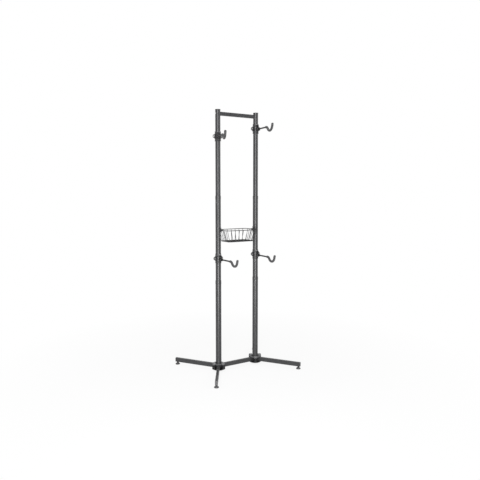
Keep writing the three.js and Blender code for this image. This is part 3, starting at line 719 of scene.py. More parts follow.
def casting_finish(name, tone, roughness, gloss):
    """Coated casting: coarser grain, paler on its edges, partly a thinner worn coat there and partly a
    painted edge highlight
    """
    material, tree, shader = new_finish(name)
    grain = noise(tree, scale=420, detail=4, roughness=0.65)
    # Paler on sharp edges: worn coat and a painted edge highlight
    edges = tree.nodes.new("ShaderNodeNewGeometry").outputs["Pointiness"]
    worn_and_highlit_edges = ranged(tree, edges, 0, 1, from_low=0.53, from_high=0.62)
    coat = mottled(tree, grain, tone, darkest=0.8, palest=1.25)
    feed(tree, shader, {
        "Base Color": mixed(tree, worn_and_highlit_edges, coat, tinted(tone, factor=2.2)),
        "Roughness": uneven(tree, grain, roughness, smoother=0.06, rougher=0.1),
        "Normal": bumped(tree, grain, depth=0.0004, strength=0.25),
        "Specular IOR Level": gloss,
    })
    return material


def tone_laid_over(material, tone, cover):
    """Another tone laid over a finish's own colour where it is covered"""
    tree = material.node_tree
    shader = tree.nodes["Principled BSDF"]
    coated = shader.inputs["Base Color"].links[0].from_socket
    feed(tree, shader, {"Base Color": mixed(tree, cover, coated, tone)})


def lugged_finish(name, tone, roughness, gloss, painted_crown_highlight):
    """Coated casting with a painted highlight on the lugs' tops, but not on the collar between them"""
    material = casting_finish(name, tone, roughness, gloss)
    tree, hubs = material.node_tree, bpy.context.scene.rack_hubs
    foot, collar = hubs.lug_top - hubs.lug_drop, hubs.lug_circle - hubs.lug_radius
    # Painted highlight: a paler tone over the lugs' tops, rising from below the dome's foot, and only outside
    # the collar
    crown_highlight_mask = ranged(tree, own_axis(tree, "Z"), 0, 1, foot - hubs.lug_drop, foot)
    level = new_node(tree, "ShaderNodeVectorMath", {0: own_place(tree), 1: (1, 1, 0)}, "MULTIPLY")
    aside = ranged(tree, distance_from_origin(tree, level.outputs[0]), 0, 1, collar, collar + hubs.highlight_fade)
    tone_laid_over(material, painted_crown_highlight, product(tree, crown_highlight_mask, aside))
    return material


def clamp_finish(name, tone, roughness, gloss, painted_crown_highlight, ear_tone):
    """Coated casting with a painted highlight on top of the lock screw's boss, and a paler coat on the ears
    round the bolts
    """
    material = casting_finish(name, tone, roughness, gloss)
    tree, arm = material.node_tree, bpy.context.scene.rack_arms
    crown = arm.screw_rise + arm.screw_boss
    # Painted highlight: a paler tone over the upper part of the lock screw's boss
    crown_highlight_mask = ranged(tree, own_axis(tree, "Z"), 0, 1, crown - arm.screw_boss / 2, crown)
    tone_laid_over(material, painted_crown_highlight, crown_highlight_mask)
    # A paler tone laid over the ears, past the clamp's outside on both sides
    aside = new_node(tree, "ShaderNodeMath", {0: own_axis(tree, "X")}, "ABSOLUTE").outputs[0]
    root = clamp_radii()[1]
    tone_laid_over(material, ear_tone, ranged(tree, aside, 0, 1, root, root + arm.clamp_wall))
    return material


def plastic_finish(name, tone, roughness):
    """Moulded plastic with a fine spark-eroded grain"""
    material, tree, shader = new_finish(name)
    grain = noise(tree, scale=1600, detail=2, roughness=0.6)
    feed(tree, shader, {
        "Base Color": mottled(tree, noise(tree, scale=40), tone, darkest=0.85, palest=1.2),
        "Roughness": uneven(tree, grain, roughness, smoother=0.06, rougher=0.08),
        "Normal": bumped(tree, grain, depth=0.0002, strength=0.25),
    })
    return material


def rubber_finish(name, tone):
    """Dipped rubber: dull, soft, with faint dust and a fine skin"""
    material, tree, shader = new_finish(name)
    dust = noise(tree, scale=90, detail=5, roughness=0.7)
    dusty = ranged(tree, dust, 0, 1, from_low=0.4, from_high=0.75)
    feed(tree, shader, {
        "Base Color": mixed(tree, dusty, tone, tinted(tone, factor=1.6)),
        "Roughness": ranged(tree, dust, low=0.62, high=0.8),
        "Normal": bumped(tree, noise(tree, scale=900), depth=0.0003, strength=0.3),
        "Sheen Weight": 0.12,
    })
    return material


def zinc_finish(name, tone):
    """Zinc plated steel, mottled and softly bright"""
    material, tree, shader = new_finish(name)
    spangle = noise(tree, scale=300, detail=4, roughness=0.6)
    feed(tree, shader, {
        "Base Color": mottled(tree, spangle, tone, darkest=0.75, palest=1.15),
        "Roughness": ranged(tree, spangle, low=0.28, high=0.45),
        "Normal": bumped(tree, spangle, depth=0.0002, strength=0.15),
        "Metallic": 1.0,
    })
    return material


def finish(name):
    """The finish of that name, made once"""
    if name in bpy.data.materials:
        return bpy.data.materials[name]
    looks = bpy.context.scene.rack_finishes
    tube_coat = (looks.powder_coat, looks.coat_roughness, looks.coat_gloss, TUBE_PEEL_SCALE)
    wire_coat = (looks.wire_coat, looks.wire_roughness, looks.thin_coat_gloss, WIRE_PEEL_SCALE)
    rod_coat = (looks.rod_coat, looks.rod_roughness, looks.thin_coat_gloss, TUBE_PEEL_SCALE)
    clamp_coat = (looks.casting_coat, looks.clamp_roughness, looks.clamp_gloss)
    hub_coat = (looks.hub_coat, looks.hub_roughness, looks.hub_gloss)
    makers = {
        "black powder coat": (powder_coat_finish, *tube_coat),
        "wire coat": (powder_coat_finish, *wire_coat),
        "rod coat": (powder_coat_finish, *rod_coat),
        # The crown tones of the clamps and the hub lugs are painted highlights
        "coated casting": (clamp_finish, *clamp_coat, looks.boss_painted_highlight, looks.ear_coat),
        "bowl casting": (casting_finish, *hub_coat),
        "lugged casting": (lugged_finish, *hub_coat, looks.lug_crown),
        "moulded plastic": (plastic_finish, looks.plastic, looks.plastic_roughness),
        "end cap plastic": (plastic_finish, looks.end_plastic_painted_lit, looks.end_roughness),
        "glossy plastic": (plastic_finish, looks.pad_plastic, looks.pad_roughness),
        "hook rubber": (rubber_finish, looks.rubber),
        "zinc plate": (zinc_finish, looks.zinc),
        "black zinc plate": (zinc_finish, looks.black_zinc),
        "foot zinc plate": (zinc_finish, looks.foot_zinc),
    }
    maker, *values = makers[name]
    return maker(name, *values)


# Places, read from the frame, and ways to turn a drawn shell

# Z of the shell to -Y, its Y to Z
OUTWARD = Matrix.Rotation(math.pi / 2, 4, "X")

# Z of the shell to X, its X to Y and its Y to Z
ALONG_X = Matrix(((0, 0, 1, 0), (1, 0, 0, 0), (0, 1, 0, 0), (0, 0, 0, 1)))

# Z of the shell to X, its X to -Y and its Y to Z
SIDE_ON = Matrix(((0, 0, 1, 0), (-1, 0, 0, 0), (0, 1, 0, 0), (0, 0, 0, 1)))


def middle_of(node):
    """Middle of a CAD node's box"""
    low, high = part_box(node)
    return (low + high) / 2


def post_place(side, height=0.0):
    """Moves what is drawn about the origin to a post's axis, at a height"""
    return Matrix.Translation((middle_of(f"post_{side}_upper").x, 0, height))


def facing(side):
    """Turns what is drawn towards +X to face from one post to the other"""
    return Matrix.Rotation(0 if side == "left" else math.pi, 4, "Z")


def leg_matrix(corner):
    """Turns and moves a leg drawn along +X from its hub"""
    post = post_place(corner.split("_")[0])
    foot = middle_of(f"levelling_foot_{corner}")
    return post @ Matrix.Rotation(math.atan2(foot.y, foot.x - post.translation.x), 4, "Z")


def arm_matrix(place):
    """Turns and moves an arm drawn towards -Y with its rod's axis at height zero"""
    swivel = next(joint for joint in frame["joints"] if joint["name"] == f"arm_{place}_swivel")
    pivot = Vector(swivel["pos_m"])
    reach = middle_of(f"hook_sleeve_{place}") - pivot
    return Matrix.Translation(pivot) @ Matrix.Rotation(math.atan2(reach.x, -reach.y), 4, "Z")


def clamp_radii():
    """Radii of a clamp's bore and of its outside"""
    arm = bpy.context.scene.rack_arms
    bore = arm.bush_radius + bpy.context.scene.rack_hubs.fit
    return bore, bore + arm.clamp_wall


class BIKERACK_OT_posts(bpy.types.Operator):
    """Makes the three round tubes of each post and the basket's hooks on the middle ones"""

    bl_idname = "bikerack.posts"
    bl_label = "Posts"

    # Degrees round the basket's rim wire at which a strap's outside leaves the post
    strap_start = -100

    def tube_shell(self, radius, low, high, banded):
        """Round tube with a rounded mouth, which a swaged band can widen"""
        tubes = bpy.context.scene.rack_tubes
        bore, mouth, lip = radius - tubes.wall, radius, tubes.lip
        profile = [(bore, low), (radius, low)]
        if banded:
            mouth, shoulder = radius + tubes.band_rise, high - tubes.band_height
            profile += [(radius, shoulder - 2 * tubes.band_rise), (mouth, shoulder)]
        profile += arc((mouth - lip, high - lip), lip, 0, 90, steps=3)
        profile += arc((bore + lip, high - lip), lip, 90, 180, steps=3)
        return lathe(profile)

    def strap_shell(self, side):
        """Hook strap drawn on a post at the origin, towards the other post"""
        tubes, basket = bpy.context.scene.rack_tubes, bpy.context.scene.rack_basket
        root, face = tubes.middle_radius - tubes.wall / 2, tubes.middle_radius + basket.strap_thickness
        wire = tubes.middle_radius + basket.rim_gap
        seat = basket.frame_wire + bpy.context.scene.rack_hubs.fit
        outer = seat + basket.strap_thickness
        outline = [(root, -basket.strap_drop), (face, -basket.strap_drop)]
        outline += arc((wire, 0), outer, self.strap_start, 0, steps=8)
        outline += [(wire + outer, basket.strap_lip), (wire + seat, basket.strap_lip)]
        outline += arc((wire, 0), seat, 0, -180, steps=12)
        outline += [(face, seat), (face, basket.strap_rise), (root, basket.strap_rise)]
        half = basket.strap_width / 2
        return placed(prism(outline, -half, half), facing(side) @ OUTWARD)

    def execute(self, context):
        tubes = context.scene.rack_tubes
        radii = {"lower": tubes.lower_radius, "middle": tubes.middle_radius, "upper": tubes.upper_radius}
        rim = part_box("wire_basket")[1].z - context.scene.rack_basket.frame_wire
        for side in SIDES:
            for section, radius in radii.items():
                node = f"post_{side}_{section}"
                low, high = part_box(node)
                tube = self.tube_shell(radius, low.z, high.z, banded=section != "upper")
                add_piece(
                    f"{section}_post_tube_{side}", tube, "black powder coat", [node],
                    matrix=post_place(side),
                )
            add_piece(
                f"basket_hook_{side}", self.strap_shell(side), "black powder coat",
                matrix=post_place(side, rim), bevel=STRAP_BEVEL,
            )
        return {"FINISHED"}


class BIKERACK_OT_post_caps(bpy.types.Operator):
    """Makes the plastic cap on each post"""

    bl_idname = "bikerack.post_caps"
    bl_label = "Post caps"

    # Degrees that the rim's rounding turns through, and the crown's points as shares of its radius
    rim_turn, crown_shares = 80, (0.9, 0.6, 0.3)

    def execute(self, context):
        tubes = context.scene.rack_tubes
        rim, plug = tubes.upper_radius + tubes.cap_overhang, tubes.upper_radius - tubes.wall - tubes.cap_slack
        crown = rim - tubes.cap_edge
        for side in SIDES:
            low, top = (corner.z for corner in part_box(f"post_cap_{side}"))
            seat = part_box(f"post_{side}_upper")[1].z + context.scene.rack_hubs.fit
            edge = top - tubes.cap_dome
            profile = [(0, low), (plug, low), (plug, seat), (rim, seat)]
            profile += arc((crown, edge - tubes.cap_edge), tubes.cap_edge, 0, self.rim_turn, steps=6)
            profile += [(crown * s, edge + tubes.cap_dome * (1 - s * s)) for s in self.crown_shares]
            profile.append((0, top))
            add_piece(
                f"top_cap_{side}", lathe(profile), "moulded plastic", [f"post_cap_{side}"],
                matrix=post_place(side),
            )
        return {"FINISHED"}


class BIKERACK_OT_top_crossbar(bpy.types.Operator):
    """Makes the crossbar between the posts' tops and the screws that hold it"""

    bl_idname = "bikerack.top_crossbar"
    bl_label = "Top crossbar"

    # Where the points of a screw's domed head lie, in radians up from its edge
    dome_turns = (0.35, 0.7, 1.0)

    def screw_shell(self):
        """Domed screw drawn up from the face that it seats on"""
        tubes = bpy.context.scene.rack_tubes
        radius, rise, socket = tubes.screw_head, tubes.screw_rise, tubes.screw_socket
        profile = [(0, -rise), (radius / 2, -rise), (radius / 2, 0), (radius, 0)]
        profile += [(radius * math.cos(t), rise * math.sin(t)) for t in self.dome_turns]
        profile += [(socket, rise), (socket, rise - tubes.socket_depth), (0, rise - tubes.socket_depth)]
        return lathe(profile, steps=32)

    def execute(self, context):
        tubes = context.scene.rack_tubes
        low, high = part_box("top_crossbar")
        height = (low.z + high.z) / 2
        outlines = tube_outlines(
            tubes.crossbar_width, tubes.crossbar_height, tubes.crossbar_corner, tubes.bar_wall,
        )
        bar = placed(pipe(*outlines, low.x - tubes.lip, high.x + tubes.lip), ALONG_X)
        add_piece(
            "upper_crossbar", bar, "black powder coat", ["top_crossbar"],
            matrix=lifted(height),
        )
        for side, outward in (("left", -1), ("right", 1)):
            face = post_place(side, height) @ Matrix.Translation((outward * tubes.upper_radius, 0, 0))
            add_piece(
                f"crossbar_screw_{side}", self.screw_shell(), "zinc plate",
                matrix=face @ Matrix.Rotation(outward * math.pi / 2, 4, "Y"),
            )
        return {"FINISHED"}


class BIKERACK_OT_base_tubes(bpy.types.Operator):
    """Makes the base crossbar, the four legs and their end caps"""

    bl_idname = "bikerack.base_tubes"
    bl_label = "Base tubes"

    def end_along(self, node, place):
        """Where a CAD node ends along +X of a place"""
        inverse = place.inverted()
        return max((inverse @ vertex.co).x for vertex in frame["nodes"][node].data.vertices)

    def execute(self, context):
        tubes, fit = context.scene.rack_tubes, context.scene.rack_hubs.fit
        low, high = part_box("base_crossbar")
        along = lifted((low.z + high.z) / 2) @ ALONG_X
        outer, inner = tube_outlines(tubes.bar_width, tubes.bar_height, tubes.bar_corner, tubes.bar_wall)
        bar = placed(pipe(outer, inner, low.x, high.x), along)
        add_piece("base_bar", bar, "black powder coat", ["base_crossbar"])
        start = post_place("right").translation.x - high.x
        for corner in CORNERS:
            place = leg_matrix(corner)
            end, cap_end = (self.end_along(f"{node}_{corner}", place) for node in ("leg", "leg_cap"))
            leg = placed(pipe(outer, inner, start, end), place @ along)
            add_piece(f"leg_tube_{corner}", leg, "black powder coat", [f"leg_{corner}"])
            # The end caps take the paler plastic, painted light on their faces
            add_piece(
                f"leg_end_cap_{corner}", placed(prism(outer, end + fit, cap_end), place @ along),
                "end cap plastic", [f"leg_cap_{corner}"], bevel=CAP_BEVEL,
            )
        return {"FINISHED"}


class BIKERACK_OT_levelling_feet(bpy.types.Operator):
    """Makes the four levelling feet: pad, nut and threaded stud"""

    bl_idname = "bikerack.levelling_feet"
    bl_label = "Levelling feet"

    # Degrees that the pad's rim turns through, and past which an edge of the thread is hard
    rim_turn, thread_edge = 70, 70

    def pad_shell(self):
        """Pad with a rounded rim, a hollow slope and a flat top"""
        hubs = bpy.context.scene.rack_hubs
        radius, rim, edge = hubs.pad_radius, hubs.pad_rim, hubs.pad_edge
        shoulder, height = hubs.pad_shoulder, hubs.pad_height
        profile = [(0, 0), (radius - edge / 2, 0), (radius, edge / 2)]
        profile += arc((radius - edge, rim - edge), edge, 0, self.rim_turn, steps=5)
        profile += quadratic(
            (hubs.pad_ledge, rim), (hubs.pad_waist, hubs.pad_waist_height), (shoulder, height - edge / 3),
        )
        return lathe(profile + [(shoulder - edge / 3, height), (0, height)])

    def execute(self, context):
        hubs = context.scene.rack_hubs
        seat, top = hubs.pad_height, hubs.pad_height + hubs.foot_nut
        hexagonal = prism(hexagon(hubs.bolt_flats), seat, top)
        for corner in CORNERS:
            node, body = f"levelling_foot_{corner}", f"foot_{corner}"
            foot = middle_of(node)
            stand = Matrix.Translation((foot.x, foot.y, 0))
            nut = placed(hexagonal, leg_matrix(corner).to_3x3().to_4x4())
            stud = threaded_rod(
                hubs.stud_radius, hubs.thread_depth, hubs.thread_pitch, top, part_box(node)[1].z,
            )
            add_piece(
                f"foot_pad_{corner}", self.pad_shell(), "glossy plastic", [node],
                body=body, matrix=stand,
            )
            add_piece(
                f"foot_nut_{corner}", nut, "foot zinc plate",
                body=body, matrix=stand, bevel=NUT_BEVEL,
            )
            add_piece(
                f"foot_stud_{corner}", stud, "foot zinc plate",
                body=body, matrix=stand, sharp=self.thread_edge,
            )
        return {"FINISHED"}


class BIKERACK_OT_hubs(bpy.types.Operator):
    """Makes the two hubs, each a lower bowl and an upper shell with three domed lugs"""

    bl_idname = "bikerack.hubs"
    bl_label = "Hubs"

    def lug_places(self):
        """Where the lugs stand, midway between the base bar and the legs"""
        inverse = post_place("left").inverted()
        turns = [0.0]
        for corner in ("left_rear", "left_front"):
            reach = inverse @ leg_matrix(corner) @ Vector((1, 0, 0))
            turns.append(math.atan2(reach.y, reach.x) % math.tau)
        turns.append(math.tau)
        circle = bpy.context.scene.rack_hubs.lug_circle
        middles = [(a + b) / 2 for a, b in zip(turns, turns[1:])]
        return [Matrix.Translation((circle * math.cos(t), circle * math.sin(t), 0)) for t in middles]

    def with_lugs(self, lug, *shells):
        """Shells of a hub's half with the same shell at each of its lugs"""
        return together(*shells, *[placed(lug, place) for place in self.lug_places()])

    def lower_shell(self, top, split):
        """Bowl under the tubes, with pillars up to where the halves meet"""
        hubs = bpy.context.scene.rack_hubs
        shoulder, wall = top - hubs.dish_rim, hubs.dish_wall
        bowl = quadratic(
            (hubs.dish_radius, shoulder), (hubs.dish_radius - wall, hubs.dish_lean),
            (hubs.dish_foot_radius, hubs.dish_bottom),
        )
        dish = lathe([
            (0, top), (hubs.dish_radius, top), *bowl, (hubs.dish_foot_radius - wall, hubs.dish_bottom),
            (hubs.dish_radius - wall, shoulder), (0, shoulder),
        ])
        return self.with_lugs(ring(0, hubs.lug_radius, shoulder, split, steps=40), dish)

    def upper_shell(self, bottom, split):
        """Plate over the tubes with the post's collar and the domed lugs"""
        hubs = bpy.context.scene.rack_hubs
        bore = bpy.context.scene.rack_tubes.lower_radius + hubs.fit
        plate = ring(bore, hubs.plate_radius, bottom, bottom + hubs.plate_height)
        collar = ring(bore, bore + hubs.collar_wall, bottom, hubs.collar_top)
        radius, crown, pocket = hubs.lug_radius, hubs.lug_crown, hubs.pocket_radius
        seat = hubs.lug_top - hubs.pocket_depth
        dome = [
            (crown + (radius - crown) * x, hubs.lug_top - hubs.lug_drop * (1 - y))
            for x, y in arc((0, 0), 1, 0, 90, steps=8)
        ]
        profile = [(0, split), (radius, split), *dome, (pocket, hubs.lug_top), (pocket, seat), (0, seat)]
        return self.with_lugs(lathe(profile, steps=40), plate, collar)

    def bolts_shell(self):
        """Hexagonal bolt head on its washer in each lug"""
        hubs = bpy.context.scene.rack_hubs
        seat = hubs.lug_top - hubs.pocket_depth
        top = seat + hubs.washer_height
        washer = ring(0, hubs.washer_radius, seat, top, steps=32)
        return self.with_lugs(together(washer, prism(hexagon(hubs.bolt_flats), top, seat + hubs.bolt_head)))

    def execute(self, context):
        fit = context.scene.rack_hubs.fit
        low, high = (corner.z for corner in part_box("base_crossbar"))
        middle = (low + high) / 2
        lower = casting("hub_dish", self.lower_shell(low - fit, middle - fit / 2), HUB_CELL)
        upper = casting("hub_shell", self.upper_shell(high + fit, middle + fit / 2), HUB_CELL)
        bolts = mesh_of("hub_bolts", self.bolts_shell(), BOLT_BEVEL)
        for side in SIDES:
            place = post_place(side) @ facing(side)
            below, above = [f"hub_{side}_lower"], [f"hub_{side}_upper"]
            add_piece(f"hub_dish_{side}", lower, "bowl casting", below, matrix=place)
            add_piece(f"hub_shell_{side}", upper, "lugged casting", above, matrix=place)
            add_piece(f"hub_bolts_{side}", bolts, "zinc plate", matrix=place)
        return {"FINISHED"}


class BIKERACK_OT_liner_bushes(bpy.types.Operator):
    """Makes the slit plastic bush between each arm's clamp and its post"""

    bl_idname = "bikerack.liner_bushes"
    bl_label = "Liner bushes"

    def bush_shell(self, tube, bottom, top):
        """Flanged bush round a tube, slit behind"""
        arm, fit = bpy.context.scene.rack_arms, bpy.context.scene.rack_hubs.fit
        seat = -arm.saddle_bottom - fit
        bore, lip = tube + fit, bpy.context.scene.rack_tubes.lip
        profile = [(bore, bottom), (arm.bush_flange - lip, bottom), (arm.bush_flange, bottom + lip)]
        profile += [(arm.bush_flange, seat - lip), (arm.bush_flange - lip, seat), (arm.bush_radius, seat)]
        profile += [(arm.bush_radius, top - lip), (arm.bush_radius - lip, top), (bore, top)]
        slit = arm.split / 2 / arm.bush_radius
        return lathe(profile, start=math.pi / 2 + slit, turn=math.tau - 2 * slit)

    def execute(self, context):
        tubes = context.scene.rack_tubes
        for place in ARM_PLACES:
            matrix, node = arm_matrix(place), f"liner_bush_{place}"
            bottom, top = (corner.z - matrix.translation.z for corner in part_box(node))
            tube = tubes.middle_radius if place.startswith("lower") else tubes.upper_radius
            add_piece(
                f"bush_sleeve_{place}", self.bush_shell(tube, bottom, top), "moulded plastic",
                [node], body=f"bush_{place}", matrix=matrix,
            )
        return {"FINISHED"}


class BIKERACK_OT_arm_clamps(bpy.types.Operator):
    """Makes the front and rear clamp castings of the four arms"""

    bl_idname = "bikerack.arm_clamps"
    bl_label = "Arm clamps"

    def half_ring(self, low, high, start, end):
        """Part of the clamp's wall between two angles in degrees"""
        turned = {"start": math.radians(start), "turn": math.radians(end - start)}
        return ring(*clamp_radii(), low, high, steps=40, **turned)

    def half_band(self, side):
        """The band round one half of the bush, with its two ears, in front at -1 and behind at +1"""
        arm = bpy.context.scene.rack_arms
        bore, outer = clamp_radii()
        slack = math.degrees(arm.split / 2 / outer)
        start = -180 if side < 0 else 0
        rise, half = arm.band_rise, arm.band_half
        band = self.half_ring(rise - half, rise + half, start + slack, start + 180 - slack)
        inner = bore + arm.overlap
        outline = rounded_rectangle(2 * arm.ear_reach, 2 * arm.ear_half, arm.ear_corner)
        right = [(max(x, inner), y) for x, y in outline if x > 0]
        left = [(-x, y) for x, y in right]
        near, far = arm.split / 2, arm.split / 2 + arm.ear_thickness
        turn = lifted(rise) @ Matrix.Rotation(side * -math.pi / 2, 4, "X")
        return together(band, *[placed(prism(shape, near, far), turn) for shape in (right, left)])

    def web(self):
        """The web that ties the nose and the screw's boss to the saddle"""
        arm = bpy.context.scene.rack_arms
        root, toe = clamp_radii()
        neck = arm.nose_reach - arm.nose_radius
        outline = [(root, -arm.saddle_bottom)]
        outline += quadratic(
            (toe, -arm.saddle_bottom), (toe + arm.nose_chamfer, -arm.nose_radius), (neck, -arm.nose_radius),
        )
        outline += quadratic(
            (neck, arm.nose_radius), (arm.screw_reach, arm.nose_radius),
            (arm.screw_reach, arm.screw_rise - arm.screw_boss),
        )
        outline += quadratic(
            (arm.screw_reach, arm.screw_rise), (arm.screw_reach, arm.saddle_top), (toe, arm.saddle_top),
        )
        outline.append((root, arm.saddle_top))
        return placed(prism(outline, -arm.web_half, arm.web_half), SIDE_ON)

    def front_shell(self):
        """Front half: band and ears, tall saddle, web, the rod's nose and the lock screw's boss"""
        arm = bpy.context.scene.rack_arms
        bore, outer = clamp_radii()
        root = bore + arm.overlap
        spread = math.degrees(math.asin(arm.saddle_half / outer))
        saddle = self.half_ring(-arm.saddle_bottom, arm.saddle_top, -90 - spread, -90 + spread)
        socket = arm.rod_radius + bpy.context.scene.rack_hubs.fit
        radius, face, chamfer = arm.nose_radius, arm.nose_reach, arm.nose_chamfer
        nose = lathe([
            (0, root), (radius, root), (radius, face - chamfer), (radius - chamfer, face),
            (socket, face), (socket, face - radius), (0, face - radius),
        ], steps=48)
        boss = ring(0, arm.screw_boss, root, arm.screw_reach, steps=48)
        nose, boss = placed(nose, OUTWARD), placed(boss, lifted(arm.screw_rise) @ OUTWARD)
        return together(self.half_band(-1), saddle, self.web(), nose, boss)

    def execute(self, context):
        front = casting("clamp_front", self.front_shell(), CLAMP_CELL)
        rear = casting("clamp_rear", self.half_band(1), CLAMP_CELL)
        for place in ARM_PLACES:
            for half, mesh in (("front", front), ("rear", rear)):
                add_piece(
                    f"{half}_clamp_{place}", mesh, "coated casting", [f"clamp_{half}_{place}"],
                    body=f"arm_{place}", matrix=arm_matrix(place),
                )
        return {"FINISHED"}


class BIKERACK_OT_arm_screws(bpy.types.Operator):
    """Makes the ear bolts with their nuts and the lock screw of each arm"""

    bl_idname = "bikerack.arm_screws"
    bl_label = "Arm screws"

    def bolt_shell(self):
        """Ear bolt through the origin, its head towards -Y"""
        arm, hubs = bpy.context.scene.rack_arms, bpy.context.scene.rack_hubs
        seat = arm.split / 2 + arm.ear_thickness + hubs.fit
        head = prism(hexagon(arm.bolt_flats), seat, seat + arm.bolt_head)
        nut = prism(hexagon(arm.bolt_flats), -seat - arm.nut_height, -seat)
        tail = threaded_rod(
            arm.bolt_radius, hubs.thread_depth, hubs.thread_pitch,
            -seat - arm.nut_height - arm.bolt_tail, seat,
        )
        return placed(together(head, nut, tail), OUTWARD)

    def screw_shell(self):
        """Socket head screw towards -Y at the boss's height"""
        arm, fit = bpy.context.scene.rack_arms, bpy.context.scene.rack_hubs.fit
        tip, seat = clamp_radii()[0], arm.screw_reach + fit
        top, radius = seat + arm.screw_height, arm.screw_head
        edge, socket = radius / 8, radius / 2
        profile = [(0, tip), (arm.screw_shank, tip), (arm.screw_shank, seat)]
        profile += [(radius, seat), (radius, top - edge), (radius - edge, top), (socket, top)]
        profile += [(socket, top - arm.socket_depth), (0, top - arm.socket_depth)]
        return placed(lathe(profile, steps=48), lifted(arm.screw_rise) @ OUTWARD)

    def execute(self, context):
        arm = context.scene.rack_arms
        bolt = mesh_of("ear_bolt", self.bolt_shell(), BOLT_BEVEL)
        screw = mesh_of("socket_screw", self.screw_shell())
        for place in ARM_PLACES:
            matrix, body = arm_matrix(place), f"arm_{place}"
            for letter, way in (("a", -1), ("b", 1)):
                aside = Matrix.Translation((way * arm.bolt_reach, 0, arm.band_rise))
                add_piece(
                    f"ear_bolt_{letter}_{place}", bolt, "zinc plate",
                    [f"clamp_bolt_{letter}_{place}"], body=body, matrix=matrix @ aside,
                )
            add_piece(
                f"socket_screw_{place}", screw, "black zinc plate", [f"lock_screw_{place}"],
                body=body, matrix=matrix,
            )
        return {"FINISHED"}


class BIKERACK_OT_hooks(bpy.types.Operator):
    """Makes the bent rod of each arm and the rubber sleeve on its hook"""

    bl_idname = "bikerack.hooks"
    bl_label = "Rods and hooks"

    # The sleeve's rolled start: metres along the rod, and how many lip heights it stands out there
    bead = (
        (0.0, -2.2), (0.0, -0.6), (0.0005, 0.4), (0.0013, 1.0), (0.0026, 1.0), (0.0035, 0.5), (0.0042, 0.0),
    )

    # Length of the sleeve's round tip as a share of its radius, and the degrees round it of its rings
    tip_share, tip_turns = 0.9, range(10, 90, 10)

    def sleeve_shell(self):
        """Rubber sleeve with a rolled lip at its start and a round tip"""
        arm = bpy.context.scene.rack_arms
        radius = arm.sleeve_radius
        tip = radius * self.tip_share
        (first, heading), *rest = hook_route(arm.bend_reach - arm.sleeve_lead, arm.tip_run)
        last, way = rest[-1]
        turns = [math.radians(degrees) for degrees in self.tip_turns]
        stations = [(first + heading * along, heading) for along, _ in self.bead]
        stations += rest + [(last + way * tip * math.sin(t), way) for t in turns]
        radii = [radius + arm.sleeve_lip * rise for _, rise in self.bead]
        radii += [radius] * len(rest) + [radius * math.cos(t) for t in turns]
        return sweep(stations, radii, sides=32)

    def execute(self, context):
        arm = context.scene.rack_arms
        route = hook_route(arm.rod_start, arm.tip_run / 2)
        rod = mesh_of("rod", sweep(route, [arm.rod_radius] * len(route)))
        sleeve = mesh_of("sleeve", self.sleeve_shell())
        for place in ARM_PLACES:
            matrix, body = arm_matrix(place), f"arm_{place}"
            add_piece(
                f"hook_rod_{place}", rod, "rod coat", [f"arm_rod_{place}"],
                body=body, matrix=matrix,
            )
            add_piece(
                f"rubber_sleeve_{place}", sleeve, "hook rubber", [f"hook_sleeve_{place}"],
                body=body, matrix=matrix,
            )
        return {"FINISHED"}


class BIKERACK_OT_wire_basket(bpy.types.Operator):
    """Makes the wire basket: rim, floor frame and bent wires"""

    bl_idname = "bikerack.wire_basket"
    bl_label = "Wire basket"

    def loop_shell(self, size, corner, height):
        """Thick wire round the rim or the floor"""
        basket = bpy.context.scene.rack_basket
        loop = wire_loop(size, corner, height)
        return sweep(loop, [basket.frame_wire + basket.wire_coat] * len(loop), sides=20, closed=True)

    def bent_shell(self, axis, rim_end, floor_end):
        """Thin wire down one wall, under the floor and up the other wall

        Each end is a place along the axis, a reach across it and a height.
        """
        basket = bpy.context.scene.rack_basket
        corners = []
        for way, (along, reach, height) in ((-1, rim_end), (-1, floor_end), (1, floor_end), (1, rim_end)):
            point = [0.0, 0.0, height]
            point[axis], point[1 - axis] = along, way * reach
            corners.append(Vector(point))
        wire = bent_wire(corners, basket.wire_bend)
        return sweep(wire, [basket.mesh_wire + basket.wire_coat] * len(wire), sides=12)

    def across_places(self, count, straight):
        """Where that many wires cross a straight stretch, given its half length"""
        span = bpy.context.scene.rack_basket.wire_span
        return [span * straight * (2 * i / (count - 1) - 1) for i in range(count)]

    def execute(self, context):
        basket = context.scene.rack_basket
        low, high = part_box("wire_basket")
        top = high.z - basket.frame_wire
        floor = top - basket.depth
        rim = (high.x - low.x - 2 * basket.frame_wire, high.y - low.y - 2 * basket.frame_wire)
        base = (rim[0] - 2 * basket.end_flare, rim[1] - 2 * basket.side_flare)
        shells = [self.loop_shell(rim, basket.rim_corner, top)]
        shells.append(self.loop_shell(base, basket.floor_corner, floor))
        for axis, count, drop in ((0, basket.long_wires, 0.0), (1, basket.short_wires, basket.floor_drop)):
            rim_reach, base_reach, under = rim[1 - axis] / 2, base[1 - axis] / 2, floor - drop
            highs = self.across_places(count, rim[axis] / 2 - basket.rim_corner)
            lows = self.across_places(count, base[axis] / 2 - basket.floor_corner)
            for upper, lower in zip(highs, lows):
                shells.append(self.bent_shell(axis, (upper, rim_reach, top), (lower, base_reach, under)))
        add_piece("basket_wires", together(*shells), "wire coat", ["wire_basket"], body="basket")
        return {"FINISHED"}


